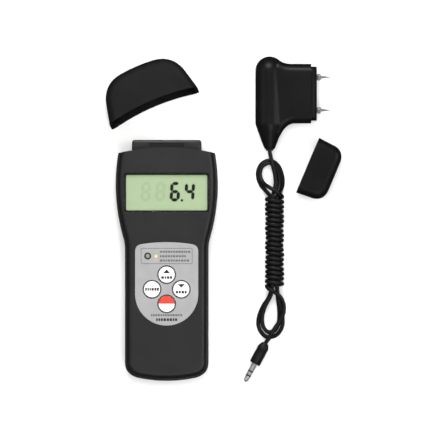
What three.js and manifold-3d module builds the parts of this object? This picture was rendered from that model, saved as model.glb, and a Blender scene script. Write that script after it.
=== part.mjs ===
// A hand-held moisture meter laid out with its loose parts: the meter, the cover of its measuring head,
// and the two-pin probe with its cap, its wound lead and its jack plug.
// Millimetres, +Z up. The meter lies on its back on z = 0 with its top end towards +Y, and the origin is
// in the middle of its back. The cover, the probe and the pin cap lie beside it on the same surface.
import * as THREE from "three";
import { mergeVertices } from "three/addons/utils/BufferGeometryUtils.js";
import Module from "manifold-3d";

const wasm = await Module();
wasm.setup();

// ---------------------------------------------------------------- driving dimensions
const gap = 0.3; // between pieces that only lie against each other
const fit = 0.4; // all round a piece that slides or turns in another
const far = 400; // reach of a cutting tool that runs right through

// the meter's case
const length = 165;
const headHalf = 35; // half the width at the display
const bulgeRadius = 128; // the curve of the head's sides
const bulgeFromTop = 30.5; // from the top end to the widest place
const bowRadius = 96; // the slight curve of the bottom end
const bottomCorner = 12.6; // how far up the side the bottom corner starts
const wall = 2.2;
const frontWall = 2.6;
const edgeRound = 1.3; // on the edges of the case's two halves
const faceStep = 1.5; // from the case's edge to the raised face
const faceRound = 3.2; // width of the raised face's rounded edge
const faceRise = 5.5; // height of the raised face's rounded edge

// cells, and the stack of layers that sets the thickness
const cellCount = 4;
const cellDiameter = 10.5;
const cellLength = 44.5;
const cellGap = 0.3;
const bayWall = 1;
const bayFromEnd = 9; // from the bottom end to the inside of the bay
const springRoom = 3.6;
const doorThickness = 1.8;
const doorTongue = 1;
const underBoard = 2.3;
const boardThickness = 1.6;
const displayStack = 5;
const sideRoom = 3.8; // between the bay and the case's wall

// the head
const neckReach = 5.2; // how far the neck stands out past the shoulder
const neckHalf = 23.8;
const neckThickness = 17.2;
const neckWall = 2;
const neckRoot = 8; // how far the neck reaches into the case
const shoulderRadius = 150;
const socketBore = 1.8;
const socketLength = 14.5;

// the display
const displayFromTop = 36.1;
const displayMargin = 6.7; // from the widest part of the head to the visible display
const displayHeight = 25.3;
const windowLedge = 0.8;
const windowThickness = 1.1;
const gasketThickness = 0.4;
const lcdThickness = 2.7;

// the keypad
const padFromDisplay = 66.1;
const keySpread = 10; // from the pad's middle to each key
const keyRadius = 5.5;
const keyProud = 0.9;
const keyTravel = 0.8;
const keyHole = 6.05;
const labelHalf = 21.65;
const labelRise = 32.4; // from the pad's middle to the label's top
const labelTopSag = 1.45; // from the crown to the ends of the top edge
const labelCorner = 4.8;
const labelCrown = 1.2; // how far the top edge's control point stands above the label
const labelFoot = 3.2; // the lower round's centre below the pad's middle
const labelThickness = 0.5;
const lampRadius = 1.5;

// the cover of the head
const coverDepth = 31.3;
const coverTaper = 0.442; // share of its thickness that it loses towards the closed end
const coverWall = 2;
const coverRound = 5;
const coverTurn = 23.2; // degrees, as it lies
const coverAt = [-8.4, 104.2];

// the pin probe
const probeAt = [70.6, 114.45];
const handleRadius = 9.8;
const handleTop = 25.6; // from the probe's middle to the top of its round end
const handleFoot = 21.25; // from the middle down to the start of the cone
const tailRadius = 3.55;
const tailFoot = 38.35;
const blockReach = 28.4; // from the handle's axis to the block's end
const blockHalf = 20.4;
const blockSink = 1.3; // how much lower the block's broad faces lie beside the handle than at its end
const blockRound = 5.5;
const blockRoundHeight = 6;
const probeWall = 2.2;
const collarReach = 3.65;
const collarInset = 1.9;
const pinSpacing = 22.7;
const pinRadius = 1;
const pinReach = 8.3; // from the nut to the point
const nutRadius = 2.35;
const nutLength = 2.4;
const capDepth = 20;
const capWall = 1.6;
const capCorner = 9.5;
const capDraft = 0.8; // that each end draws in towards the closed side
const capTurn = -22.9; // degrees, as it lies
const capAt = [96.65, 65.3];

// the lead, its winding and its plug
const cordRadius = 1.4;
const windRadius = 5.5; // from the winding's axis to the middle of the cord
const windAxis = 74;
const windTop = 43.4;
const windPitch = 3.3;
const windTurns = 18.5;
const coreOffset = 1.45; // of the four strands inside the winding
const plugRadius = 3.8;
const plugLength = 16;
const plugTurn = -28; // degrees from straight down
const plugAt = [60.3, -71.1]; // the shoulder of the plug's metal end
const jackRadius = 1.75;
const jackLength = 14;

// ---------------------------------------------------------------- worked out from those
const top = length / 2;
const foot = -length / 2;
const doorRoof = doorThickness + gap;
const cellZ = doorRoof + cellGap + cellDiameter / 2;
const bayRoof = cellZ + cellDiameter / 2 + cellGap;
const boardZ = bayRoof + bayWall + underBoard;
const boardTop = boardZ + boardThickness;
const inFront = boardTop + displayStack; // inside of the front wall
const thickness = inFront + frontWall;
const middle = thickness / 2;
const flangeTop = thickness - faceRise - 0.7;
const bayHalf = (cellCount * (cellDiameter + cellGap)) / 2;
const handleHalf = bayHalf + bayWall + sideRoom + wall;
const bayFoot = foot + bayFromEnd;
const bayTop = bayFoot + cellLength + springRoom;
const shoulderTop = top - neckReach;
const bulgeY = top - bulgeFromTop;
const displayY = top - displayFromTop;
const displayHalf = headHalf - displayMargin;
const padY = displayY - padFromDisplay;

const colours = {
  casing: { color: "#3a3a3b", roughness: 0.55, metalness: 0 },
  rubberBlack: { color: "#242425", roughness: 0.6, metalness: 0 },
  probeBlack: { color: "#1e1e1f", roughness: 0.5, metalness: 0 },
  lens: { color: "#c8d6c0", roughness: 0.05, metalness: 0 },
  lcd: { color: "#b9cea7", roughness: 0.4, metalness: 0 },
  label: { color: "#c4c4c4", roughness: 0.45, metalness: 0 },
  key: { color: "#fafafa", roughness: 0.4, metalness: 0 },
  lamp: { color: "#8c8f88", roughness: 0.2, metalness: 0 },
  board: { color: "#1f5a34", roughness: 0.5, metalness: 0 },
  chip: { color: "#161616", roughness: 0.5, metalness: 0 },
  steel: { color: "#c2c4c6", roughness: 0.3, metalness: 1 },
  brass: { color: "#c9a24a", roughness: 0.35, metalness: 1 },
  cell: { color: "#7a7f86", roughness: 0.4, metalness: 0.3 },
  cord: { color: "#202021", roughness: 0.5, metalness: 0 },
};

// ---------------------------------------------------------------- solids
function solidOf(geometry) {
  const bare = geometry.index ? geometry.toNonIndexed() : geometry.clone();
  bare.deleteAttribute("normal");
  bare.deleteAttribute("uv");
  const merged = mergeVertices(bare, 1e-4);
  return new wasm.Manifold(
    new wasm.Mesh({
      numProp: 3,
      vertProperties: merged.attributes.position.array,
      triVerts: new Uint32Array(merged.index.array),
    }),
  );
}

function geometryOf(solid) {
  const mesh = solid.getMesh();
  const geometry = new THREE.BufferGeometry();
  geometry.setAttribute("position", new THREE.BufferAttribute(mesh.vertProperties, 3));
  geometry.setIndex(new THREE.BufferAttribute(mesh.triVerts, 1));
  return geometry;
}

const cut = (body, ...tools) => geometryOf(tools.reduce((a, b) => a.subtract(solidOf(b)), solidOf(body)));
const join = (body, ...more) => geometryOf(more.reduce((a, b) => a.add(solidOf(b)), solidOf(body)));
const keep = (body, ...limits) => geometryOf(limits.reduce((a, b) => a.intersect(solidOf(b)), solidOf(body)));

// A box from its lowest to its highest corner.
function box([x0, y0, z0], [x1, y1, z1]) {
  const block = new THREE.BoxGeometry(x1 - x0, y1 - y0, z1 - z0);
  return block.translate((x0 + x1) / 2, (y0 + y1) / 2, (z0 + z1) / 2);
}

// A flat shape raised from z0 to z1. inset draws its edge in; round and rise are the width and the
// height of a rounded edge on both faces.
function slab(shape, z0, z1, { inset = 0, round = 0, rise = round, segments = 2, curve = 4 } = {}) {
  return new THREE.ExtrudeGeometry(shape, {
    depth: z1 - z0 - 2 * rise,
    curveSegments: curve,
    bevelEnabled: round > 0 || inset > 0,
    bevelThickness: rise,
    bevelSize: round,
    bevelOffset: -round - inset,
    bevelSegments: round > 0 ? segments : 1,
  }).translate(0, 0, z0 + rise);
}

// A turned piece: [radius, height] pairs, round the Y axis.
function turned(profile, sides = 16) {
  return new THREE.LatheGeometry(
    profile.map(([r, y]) => new THREE.Vector2(r, y)),
    sides,
  );
}

// A plain rod from z0 to z1 at x, y.
function rod(radius, z0, z1, x = 0, y = 0, sides = 16) {
  const upright = new THREE.CylinderGeometry(radius, radius, z1 - z0, sides).rotateX(Math.PI / 2);
  return upright.translate(x, y, (z0 + z1) / 2);
}

function rectangle(x0, y0, x1, y1, corner = 0) {
  const shape = new THREE.Shape();
  shape.moveTo(x0 + corner, y0);
  shape.lineTo(x1 - corner, y0);
  if (corner) shape.absarc(x1 - corner, y0 + corner, corner, -Math.PI / 2, 0);
  shape.lineTo(x1, y1 - corner);
  if (corner) shape.absarc(x1 - corner, y1 - corner, corner, 0, Math.PI / 2);
  shape.lineTo(x0 + corner, y1);
  if (corner) shape.absarc(x0 + corner, y1 - corner, corner, Math.PI / 2, Math.PI);
  shape.lineTo(x0, y0 + corner);
  if (corner) shape.absarc(x0 + corner, y0 + corner, corner, Math.PI, 1.5 * Math.PI);
  return shape;
}

const group = new THREE.Group();

function add(name, geometry, finish, parent = group) {
  const mesh = new THREE.Mesh(geometry, new THREE.MeshStandardMaterial(colours[finish]));
  mesh.name = name;
  parent.add(mesh);
  return mesh;
}

// ---------------------------------------------------------------- the meter's case
const sideAt = (y) => headHalf - bulgeRadius + Math.sqrt(bulgeRadius ** 2 - (y - bulgeY) ** 2);
const bowAt = (x) => foot + bowRadius - Math.sqrt(bowRadius ** 2 - x ** 2);
const shoulderAt = (x) => shoulderTop - shoulderRadius + Math.sqrt(shoulderRadius ** 2 - x ** 2);

// The case's outline from the front, carried on past the shoulder to the height of the top end.
function caseOutline() {
  const waistY = bulgeY - Math.sqrt(bulgeRadius ** 2 - (handleHalf - headHalf + bulgeRadius) ** 2);
  const cornerX = handleHalf - 9;
  const atTop = Math.asin((top - bulgeY) / bulgeRadius);
  const atWaist = Math.asin((waistY - bulgeY) / bulgeRadius);
  const shape = new THREE.Shape();
  shape.moveTo(cornerX, bowAt(cornerX));
  shape.quadraticCurveTo(handleHalf, bowAt(handleHalf), handleHalf, foot + bottomCorner);
  shape.lineTo(handleHalf, waistY);
  shape.absarc(headHalf - bulgeRadius, bulgeY, bulgeRadius, atWaist, atTop);
  shape.absarc(bulgeRadius - headHalf, bulgeY, bulgeRadius, Math.PI - atTop, Math.PI - atWaist);
  shape.lineTo(-handleHalf, foot + bottomCorner);
  shape.quadraticCurveTo(-handleHalf, bowAt(handleHalf), -cornerX, bowAt(cornerX));
  const bowAngle = Math.asin(cornerX / bowRadius);
  shape.absarc(0, foot + bowRadius, bowRadius, -Math.PI / 2 - bowAngle, -Math.PI / 2 + bowAngle);
  return shape;
}

// Everything below the shoulder's curve, drawn in by inset.
function belowShoulder(inset = 0) {
  const reach = headHalf * 1.3;
  const angle = Math.asin(reach / shoulderRadius);
  const shape = new THREE.Shape();
  shape.moveTo(-reach, foot - 20);
  shape.lineTo(reach, foot - 20);
  const middleY = shoulderTop - shoulderRadius - inset;
  shape.absarc(0, middleY, shoulderRadius, Math.PI / 2 - angle, Math.PI / 2 + angle);
  return slab(shape, -far, far, { curve: 8 });
}

const outline = caseOutline();
const caseBody = keep(
  join(
    slab(outline, 0, flangeTop, { round: edgeRound }),
    slab(outline, faceRise + 1, thickness, {
      inset: faceStep,
      round: faceRound,
      rise: faceRise,
      segments: 3,
    }),
  ),
  belowShoulder(),
);
const seam = 0.1; // half the gap between the two halves
const frontSide = box([-far, -far, middle + seam], [far, far, far]);
const rearSide = box([-far, -far, -far], [far, far, middle - seam]);

// the case screws: two in the head, two just above the cells
const caseScrews = [
  [-headHalf + 10.5, top - 18],
  [headHalf - 10.5, top - 18],
  [-handleHalf + 5.8, bayTop + 5],
  [handleHalf - 5.8, bayTop + 5],
];
const bossRadius = 2.7;
const screwRadius = 1.1;
const screwHead = 2.1;
const screwHeadDepth = 3.2;

// the neck's root runs inside the shoulder wall, and a flange holds it there
const neckFoot = shoulderTop - neckRoot;
const neckFlange = 1.6;
const neckLow = middle - neckThickness / 2;
const neckHigh = middle + neckThickness / 2;
const neckHole = box([-neckHalf - gap, neckFoot, neckLow - gap], [neckHalf + gap, top + 5, neckHigh + gap]);

// ---- the keypad's shapes
const keys = [
  ["key_up", 0, keySpread],
  ["key_select", -keySpread, 0],
  ["key_down", keySpread, 0],
  ["key_power", 0, -keySpread],
];
const lampAt = [-13, padY + 22.75];

function labelOutline(inset = 0) {
  const half = labelHalf - inset;
  const high = padY + labelRise - inset;
  const low = padY - labelFoot;
  const cornerY = high - labelTopSag - 0.55;
  const shape = new THREE.Shape();
  shape.moveTo(half, low);
  shape.lineTo(half, cornerY - labelCorner);
  shape.quadraticCurveTo(half, cornerY, half - labelCorner, high - labelTopSag);
  shape.quadraticCurveTo(0, high + labelCrown, -half + labelCorner, high - labelTopSag);
  shape.quadraticCurveTo(-half, cornerY, -half, cornerY - labelCorner);
  shape.lineTo(-half, low);
  shape.absarc(0, low, half, Math.PI, 2 * Math.PI);
  return shape;
}

const labelFace = thickness - 0.05;

// ---- front half
function frontHousing() {
  const windowPocket = slab(
    rectangle(
      -displayHalf - windowLedge,
      displayY - displayHeight / 2 - windowLedge,
      displayHalf + windowLedge,
      displayY + displayHeight / 2 + windowLedge,
      1.6,
    ),
    thickness - windowThickness - gasketThickness - 0.4,
    far,
  );
  const windowHole = slab(
    rectangle(-displayHalf, displayY - displayHeight / 2, displayHalf, displayY + displayHeight / 2, 1.2),
    -far,
    far,
  );
  const shell = cut(
    keep(caseBody, frontSide),
    keep(slab(outline, -far, flangeTop - 1, { inset: wall }), belowShoulder(wall)),
    keep(slab(outline, -far, inFront, { inset: faceStep + wall + 0.4 }), belowShoulder(wall)),
    neckHole,
    windowPocket,
    slab(labelOutline(-gap), labelFace - labelThickness - 0.1, far, { curve: 8 }),
  );
  const bosses = caseScrews.map(([x, y]) => rod(bossRadius, middle + seam, inFront + 0.5, x, y, 12));
  return cut(
    join(shell, ...bosses.map((b) => keep(b, caseBody))),
    windowHole,
    ...keys.map(([, x, y]) => rod(keyHole, middle, far, x, padY + y, 24)),
    rod(lampRadius + 0.5, middle, far, ...lampAt),
    ...caseScrews.map(([x, y]) => rod(screwRadius - 0.15, -far, inFront - 1.5, x, y, 8)),
  );
}
add("front_housing", frontHousing(), "casing");

// ---- battery door: it slides out of the bottom end, held by a tongue along each side
const doorHalf = bayHalf + 0.4;
const doorTop = bayTop + 1.5;
const tongueZ = doorThickness / 2;
const doorSpace = [
  box([-doorHalf - fit, foot - 5, -far], [doorHalf + fit, doorTop + fit, doorRoof]),
  box(
    [-doorHalf - doorTongue - fit, foot - 5, tongueZ - gap],
    [doorHalf + doorTongue + fit, doorTop + fit, doorRoof],
  ),
];
const door = keep(
  join(
    box([-doorHalf, foot - 5, 0], [doorHalf, doorTop, doorThickness]),
    box([-doorHalf - doorTongue, foot - 5, tongueZ], [doorHalf + doorTongue, doorTop, doorThickness]),
  ),
  caseBody,
);
const gripRibs = [0, 1, 2, 3].map((i) => {
  const y = bayTop - 12 - 2.2 * i;
  return box([-7, y, -1], [7, y + 1, 0.5]);
});
add("battery_door", cut(door, ...gripRibs), "casing");

// ---- rear half
const sensorHalf = 19;
const sensorFoot = top - 38;
const sensorTop = top - 18;
const sensorThickness = 1.2;
const sensorShape = (grow) =>
  rectangle(-sensorHalf - grow, sensorFoot - grow, sensorHalf + grow, sensorTop + grow, 4 + grow);

function rearHousing() {
  const shell = cut(
    keep(caseBody, rearSide),
    keep(slab(outline, wall, far, { inset: wall }), belowShoulder(wall)),
    neckHole,
  );
  const bayBlock = keep(
    join(
      box(
        [-bayHalf - bayWall, bayFoot - bayWall, 0],
        [bayHalf + bayWall, bayTop + bayWall, bayRoof + bayWall],
      ),
      box([-far, foot, 0], [far, doorTop + 2, doorRoof + 1.4]),
      box([-sensorHalf - 2, sensorFoot - 2, 0], [sensorHalf + 2, sensorTop + 2, wall + 1.4]),
    ),
    caseBody,
  );
  const bosses = caseScrews.map(([x, y]) => rod(bossRadius + 0.7, 0.5, middle - seam, x, y, 12));
  return cut(
    join(shell, bayBlock, ...bosses.map((b) => keep(b, caseBody))),
    box([-bayHalf, bayFoot, -far], [bayHalf, bayTop, bayRoof]),
    ...doorSpace,
    slab(sensorShape(gap), -far, sensorThickness + gap),
    ...caseScrews.map(([x, y]) => rod(screwRadius + 0.25, -far, far, x, y, 8)),
    ...caseScrews.map(([x, y]) => rod(screwHead + fit, -far, screwHeadDepth, x, y, 12)),
  );
}
add("rear_housing", rearHousing(), "casing");
add("search_sensor", slab(sensorShape(0), 0.1, sensorThickness), "rubberBlack");

caseScrews.forEach(([x, y], i) => {
  const head = screwHeadDepth - gap;
  const geometry = turned([
    [0, head - 1.5],
    [screwHead, head - 1.5],
    [screwHead, head],
    [screwRadius - 0.35, head],
    [screwRadius - 0.35, inFront - 3],
    [0, inFront - 2.2],
  ]).rotateX(Math.PI / 2);
  const slot = [box([-1.6, -0.3, -1], [1.6, 0.3, head - 0.8]), box([-0.3, -1.6, -1], [0.3, 1.6, head - 0.8])];
  add(`case_screw_${i + 1}`, cut(geometry, ...slot), "steel").position.set(x, y, 0);
});

// ---- neck: the block that carries the probe's socket, and that the cover slips over
function neckBlock() {
  const block = rectangle(-neckHalf, neckFoot + neckFlange, neckHalf, top);
  const body = slab(block, neckLow, neckHigh, { round: 1 });
  const flange = box(
    [-neckHalf - 1.5, neckFoot - 0.1, neckLow - 1],
    [neckHalf + 1.5, neckFoot + neckFlange + 0.6, neckHigh + 1],
  );
  const hollow = box(
    [-neckHalf + neckWall, neckFoot - 5, neckLow + neckWall],
    [neckHalf - neckWall, top - neckWall, neckHigh - neckWall],
  );
  const grooves = [0, 1].map((i) => {
    const y = top - 2.1 - 1.7 * i;
    return box([-12, y - 0.7, neckHigh - 0.4], [12, y, neckHigh + 1]);
  });
  return cut(
    join(body, flange),
    hollow,
    ...grooves,
    rod(socketBore + 1.6, -20, 20).rotateX(Math.PI / 2).translate(0, top, middle),
  );
}
// the flange sits inside the shoulder wall, in a pocket of its own
add("neck_block", keep(neckBlock(), join(belowNeckFlange(), neckHoleCore())), "casing");

function belowNeckFlange() {
  return keep(slab(outline, 0, inFront - gap, { inset: wall + gap }), belowShoulder(wall + gap));
}
function neckHoleCore() {
  return box([-neckHalf - 0.01, neckFoot - 5, neckLow - 0.01], [neckHalf + 0.01, top + 1, neckHigh + 0.01]);
}

const socketFace = top - 0.3;
add(
  "jack_socket",
  turned([
    [socketBore, socketFace - socketLength],
    [socketBore + 1.3, socketFace - socketLength],
    [socketBore + 1.3, socketFace],
    [socketBore, socketFace],
    [socketBore, socketFace - socketLength],
  ]).translate(0, 0, middle),
  "steel",
);

// ---- display
const ledgeZ = thickness - windowThickness - gasketThickness - 0.4;
function frame(grow, hole, z0, z1) {
  const ring = slab(
    rectangle(
      -displayHalf - grow,
      displayY - displayHeight / 2 - grow,
      displayHalf + grow,
      displayY + displayHeight / 2 + grow,
      1.2,
    ),
    z0,
    z1,
  );
  if (hole === null) return ring;
  return cut(
    ring,
    slab(
      rectangle(
        -displayHalf + hole,
        displayY - displayHeight / 2 + hole,
        displayHalf - hole,
        displayY + displayHeight / 2 - hole,
        1,
      ),
      -far,
      far,
    ),
  );
}
const lensGrow = windowLedge - 0.25;
add("window_gasket", frame(lensGrow, 0.15, ledgeZ + 0.05, ledgeZ + gasketThickness), "rubberBlack");
add("display_window", frame(lensGrow, null, ledgeZ + gasketThickness + 0.05, thickness - 0.15), "lens");
const lcdZ = inFront - gap - lcdThickness;
add("lcd_panel", frame(0.7, null, lcdZ, inFront - gap), "lcd");
add("lcd_tray", frame(0.7, 3, boardTop + 0.2, lcdZ - 0.2), "rubberBlack");
const zebraY = displayY - displayHeight / 2 + 4;
add(
  "zebra_strip",
  box([-displayHalf + 5, zebraY, boardTop + 0.1], [displayHalf - 5, zebraY + 2, lcdZ - 0.1]),
  "label",
);

// ---- keypad
const labelHoles = [
  ...keys.map(([, x, y]) => rod(keyHole, middle, far, x, padY + y, 24)),
  rod(lampRadius + 0.5, middle, far, ...lampAt),
];
add(
  "keypad_label",
  cut(slab(labelOutline(), labelFace - labelThickness, labelFace, { curve: 8 }), ...labelHoles),
  "label",
);
const keyTop = thickness + keyProud;
const keyFoot = boardTop + 2;
for (const [name, x, y] of keys) {
  const key = turned(
    [
      [0, keyFoot],
      [keyHole + 0.7, keyFoot],
      [keyHole + 0.7, keyFoot + 1],
      [keyRadius, keyFoot + 1],
      [keyRadius, keyTop - 0.4],
      [keyRadius - 0.5, keyTop],
      [0, keyTop],
    ],
    24,
  ).rotateX(Math.PI / 2);
  add(name, key, "key").position.set(x, padY + y, 0);
}
const matHalf = keySpread + keyHole + 1;
function keyMat() {
  const square = rectangle(-matHalf, padY - matHalf, matHalf, padY + matHalf, 3);
  const sheet = slab(square, boardTop + 0.1, boardTop + 0.8);
  const domeTop = keyFoot - keyTravel - 0.1;
  return join(sheet, ...keys.map(([, x, y]) => rod(3, boardTop + 0.5, domeTop, x, padY + y, 12)));
}
add("key_mat", keyMat(), "rubberBlack");
add("status_lamp", rod(lampRadius, boardTop + 0.1, thickness + 0.1, ...lampAt, 12), "lamp");

// ---- circuit board
const boardHalf = handleHalf - wall - 7;
function mainBoard() {
  const head = slab(
    rectangle(-displayHalf + 1, displayY - 24, displayHalf - 1, neckFoot - 1.5, 2),
    boardZ,
    boardTop,
  );
  const tongue = box([-boardHalf, padY - matHalf - 1, boardZ], [boardHalf, displayY - 20, boardTop]);
  return cut(join(head, tongue), ...caseScrews.map(([x, y]) => rod(bossRadius + 0.5, 0, far, x, y, 12)));
}
add("main_board", mainBoard(), "board");
add("board_chip", box([-6, displayY - 6, boardZ - 1.6], [6, displayY + 6, boardZ - 0.1]), "chip");

// ---- cells, springs and contacts
const cellFoot = bayFoot + springRoom - 0.9;
const nubLength = 1;
for (let i = 0; i < cellCount; i++) {
  const x = (i - (cellCount - 1) / 2) * (cellDiameter + cellGap);
  const flip = i % 2 ? -1 : 1;
  const cell = turned([
    [0, 0],
    [cellDiameter / 2 - 0.5, 0],
    [cellDiameter / 2 - 0.1, 0.5],
    [cellDiameter / 2 - 0.1, cellLength - nubLength - 0.5],
    [cellDiameter / 2 - 0.6, cellLength - nubLength],
    [1.9, cellLength - nubLength],
    [1.9, cellLength],
    [0, cellLength],
  ]);
  const mesh = add(`cell_${i + 1}`, cell, "cell");
  mesh.rotation.z = flip > 0 ? 0 : Math.PI;
  mesh.position.set(x, flip > 0 ? cellFoot : cellFoot + cellLength, cellZ);
}
const stripThickness = 0.4;
add(
  "contact_strip_top",
  box(
    [-bayHalf + 0.6, bayTop - 0.1 - stripThickness, doorRoof + 0.6],
    [bayHalf - 0.6, bayTop - 0.1, bayRoof - 0.6],
  ),
  "steel",
);
add(
  "contact_strip_foot",
  box(
    [-bayHalf + 0.6, bayFoot + 0.1, doorRoof + 0.6],
    [bayHalf - 0.6, bayFoot + 0.1 + stripThickness, bayRoof - 0.6],
  ),
  "steel",
);
// A short coil that narrows towards the cell.
class SpringCurve extends THREE.Curve {
  getPoint(t, target = new THREE.Vector3()) {
    const turn = 2 * Math.PI * 2 * t;
    const radius = 3.4 - 1.3 * t;
    return target.set(radius * Math.cos(turn), (springRoom - 2.6) * t, radius * Math.sin(turn));
  }
}
const wire = new THREE.Shape().absarc(0, 0, 0.25, 0, 2 * Math.PI);
for (let i = 0; i < cellCount; i++) {
  const x = (i - (cellCount - 1) / 2) * (cellDiameter + cellGap);
  const spring = new THREE.ExtrudeGeometry(wire, {
    extrudePath: new SpringCurve(),
    steps: 16,
    curveSegments: 3,
  });
  const mesh = add(`cell_spring_${i + 1}`, spring, "steel");
  mesh.position.set(x, bayFoot + stripThickness + 0.5, cellZ);
}

// ---------------------------------------------------------------- the cover of the head
// Local frame: x along the open rim, y towards the closed end, z through the thickness.
const coverHalf = sideAt(shoulderAt(headHalf - 2)) - 0.4;
function coverOutline() {
  const low = -12;
  const cornerLow = coverDepth * 0.71;
  const cornerHigh = coverDepth * 0.92;
  const shape = new THREE.Shape();
  shape.moveTo(coverHalf, low);
  shape.lineTo(coverHalf, 0);
  shape.quadraticCurveTo(coverHalf - 1.9, coverDepth * 0.28, coverHalf - 3.6, coverDepth * 0.5);
  const crownY = coverDepth - 0.9;
  shape.bezierCurveTo(coverHalf - 5.2, cornerLow, coverHalf - 10, cornerHigh, coverHalf - 19, crownY);
  shape.quadraticCurveTo(0, coverDepth + 0.9, -coverHalf + 19, coverDepth - 0.9);
  const left = -coverHalf;
  shape.bezierCurveTo(left + 10, cornerHigh, left + 5.2, cornerLow, left + 3.6, coverDepth * 0.5);
  shape.quadraticCurveTo(-coverHalf + 1.9, coverDepth * 0.28, -coverHalf, 0);
  shape.lineTo(-coverHalf, low);
  return shape;
}
// Draws the thickness in towards the closed end.
function taper(geometry) {
  const place = geometry.attributes.position;
  for (let i = 0; i < place.count; i++) {
    const along = Math.max(0, place.getY(i)) / coverDepth;
    place.setZ(i, place.getZ(i) * (1 - coverTaper * along));
  }
  return geometry;
}
function sensorCover() {
  const half = thickness / 2;
  const rim = new THREE.Shape();
  const reach = headHalf * 1.2;
  const angle = Math.asin(reach / shoulderRadius);
  const rimTop = shoulderTop - shoulderAt(coverHalf) - shoulderRadius;
  rim.moveTo(-reach, -40);
  rim.lineTo(reach, -40);
  rim.absarc(0, rimTop, shoulderRadius, Math.PI / 2 - angle, Math.PI / 2 + angle);
  const outer = taper(slab(coverOutline(), -half, half, { round: coverRound, segments: 3, curve: 7 }));
  const inner = taper(
    slab(coverOutline(), -half + coverWall, half - coverWall, {
      inset: coverWall,
      round: coverRound - 1,
      segments: 2,
      curve: 8,
    }),
  );
  const ribTop = 12;
  const ribs = [];
  for (const side of [-1, 1]) {
    const inside = side * (neckHalf + fit);
    const outside = inside + side * 1.4;
    ribs.push(box([Math.min(inside, outside), 0, -half + 1], [Math.max(inside, outside), ribTop, half - 1]));
    for (const x of [-18, -8, 8, 18]) {
      const low = side * (neckThickness / 2 + fit);
      const high = side * (half - 1);
      ribs.push(box([x - 0.7, 0, Math.min(low, high)], [x + 0.7, ribTop, Math.max(low, high)]));
    }
  }
  return cut(join(cut(outer, inner), ...ribs.map((r) => keep(r, outer))), slab(rim, -far, far, { curve: 8 }));
}
const coverTilt = Math.atan((coverTaper * thickness) / 2 / coverDepth);
const coverGroup = new THREE.Group();
coverGroup.position.set(coverAt[0], coverAt[1], (thickness / 2) * Math.cos(coverTilt) + 0.02);
coverGroup.rotation.set(-coverTilt, 0, THREE.MathUtils.degToRad(coverTurn), "ZYX");
group.add(coverGroup);
add("sensor_cover", sensorCover(), "rubberBlack", coverGroup);

// ---------------------------------------------------------------- the pin probe, lying on its side
// Local frame: the handle's axis is the Y axis, the block and its pins reach towards +X.
const probe = new THREE.Group();
probe.position.set(probeAt[0], probeAt[1], 0);
group.add(probe);
const probeThickness = 2 * handleRadius;

// The grip's side view past the handle: the block, with a hollow blend into the round end and the cone.
function blockOutline(end) {
  const shape = new THREE.Shape();
  shape.moveTo(end, -blockHalf);
  shape.lineTo(end, blockHalf);
  shape.lineTo(handleRadius + 4.2, blockHalf);
  shape.quadraticCurveTo(handleRadius - 0.4, blockHalf + 0.2, handleRadius - 3.8, handleTop - 2.4);
  shape.lineTo(-2, handleTop - 7);
  shape.lineTo(-2, -handleFoot - 6);
  shape.lineTo(handleRadius - 3, -handleFoot - 8.4);
  shape.quadraticCurveTo(handleRadius + 1.2, -blockHalf - 0.4, handleRadius + 6.8, -blockHalf);
  return shape;
}
const handleProfile = [
  [0, -tailFoot],
  [tailRadius, -tailFoot],
  [handleRadius, -handleFoot],
  [handleRadius, handleTop - handleRadius],
  ...[1, 2, 3, 4].map((i) => {
    const a = (i * Math.PI) / 10;
    return [handleRadius * Math.cos(a), handleTop - handleRadius + handleRadius * Math.sin(a)];
  }),
  [0, handleTop],
];
const bushRadius = 2.55;
const boreProfile = [
  [0, -tailFoot - 2],
  [bushRadius + 0.25, -tailFoot - 2],
  [bushRadius + 0.25, -tailFoot + 8],
  [handleRadius - probeWall, -handleFoot + 2],
  [handleRadius - probeWall, handleTop - handleRadius],
  [0, handleTop - probeWall - 1],
];
const cavityHalf = blockHalf - 3.4;
const cavityLow = 3.2;
const cavityHigh = probeThickness - 3.2;
const sinkAngle = Math.atan(blockSink / (blockReach - handleRadius));
const upperWedge = box([-far, -far, 0], [0, far, far]).rotateY(-sinkAngle);
const lowerWedge = box([-far, -far, -far], [0, far, 0]).rotateY(sinkAngle);
const block = cut(
  slab(blockOutline(blockReach + 12), 0.1, probeThickness - 0.1, {
    round: blockRound,
    rise: blockRoundHeight,
    segments: 4,
    curve: 6,
  }),
  upperWedge.translate(blockReach, 0, probeThickness - 0.1),
  lowerWedge.translate(blockReach, 0, 0.1),
);
const grip = keep(
  join(turned(handleProfile, 28).translate(0, 0, handleRadius), block),
  box([-far, -far, -far], [blockReach, far, far]),
);
const probeScrews = [
  [13, 0],
  [0, -10],
];
const probeBosses = (z0, z1) => probeScrews.map(([x, y]) => keep(rod(2.6, z0, z1, x, y, 12), grip));
const gripShell = cut(
  grip,
  turned(boreProfile, 20).translate(0, 0, handleRadius),
  box([-2, -cavityHalf, cavityLow], [far, cavityHalf, cavityHigh]),
);
const upperSide = box([-far, -far, handleRadius + seam], [far, far, far]);
const lowerSide = box([-far, -far, -far], [far, far, handleRadius - seam]);
add(
  "probe_upper_shell",
  cut(
    join(keep(gripShell, upperSide), ...probeBosses(handleRadius + seam, probeThickness - 2)),
    ...probeScrews.map(([x, y]) => rod(0.95, -far, probeThickness - 4, x, y, 8)),
  ),
  "probeBlack",
  probe,
);
add(
  "probe_lower_shell",
  cut(
    join(keep(gripShell, lowerSide), ...probeBosses(2, handleRadius - seam)),
    ...probeScrews.map(([x, y]) => rod(1.3, -far, far, x, y, 8)),
    ...probeScrews.map(([x, y]) => rod(2.3, -far, 3.2, x, y, 12)),
  ),
  "probeBlack",
  probe,
);
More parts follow.
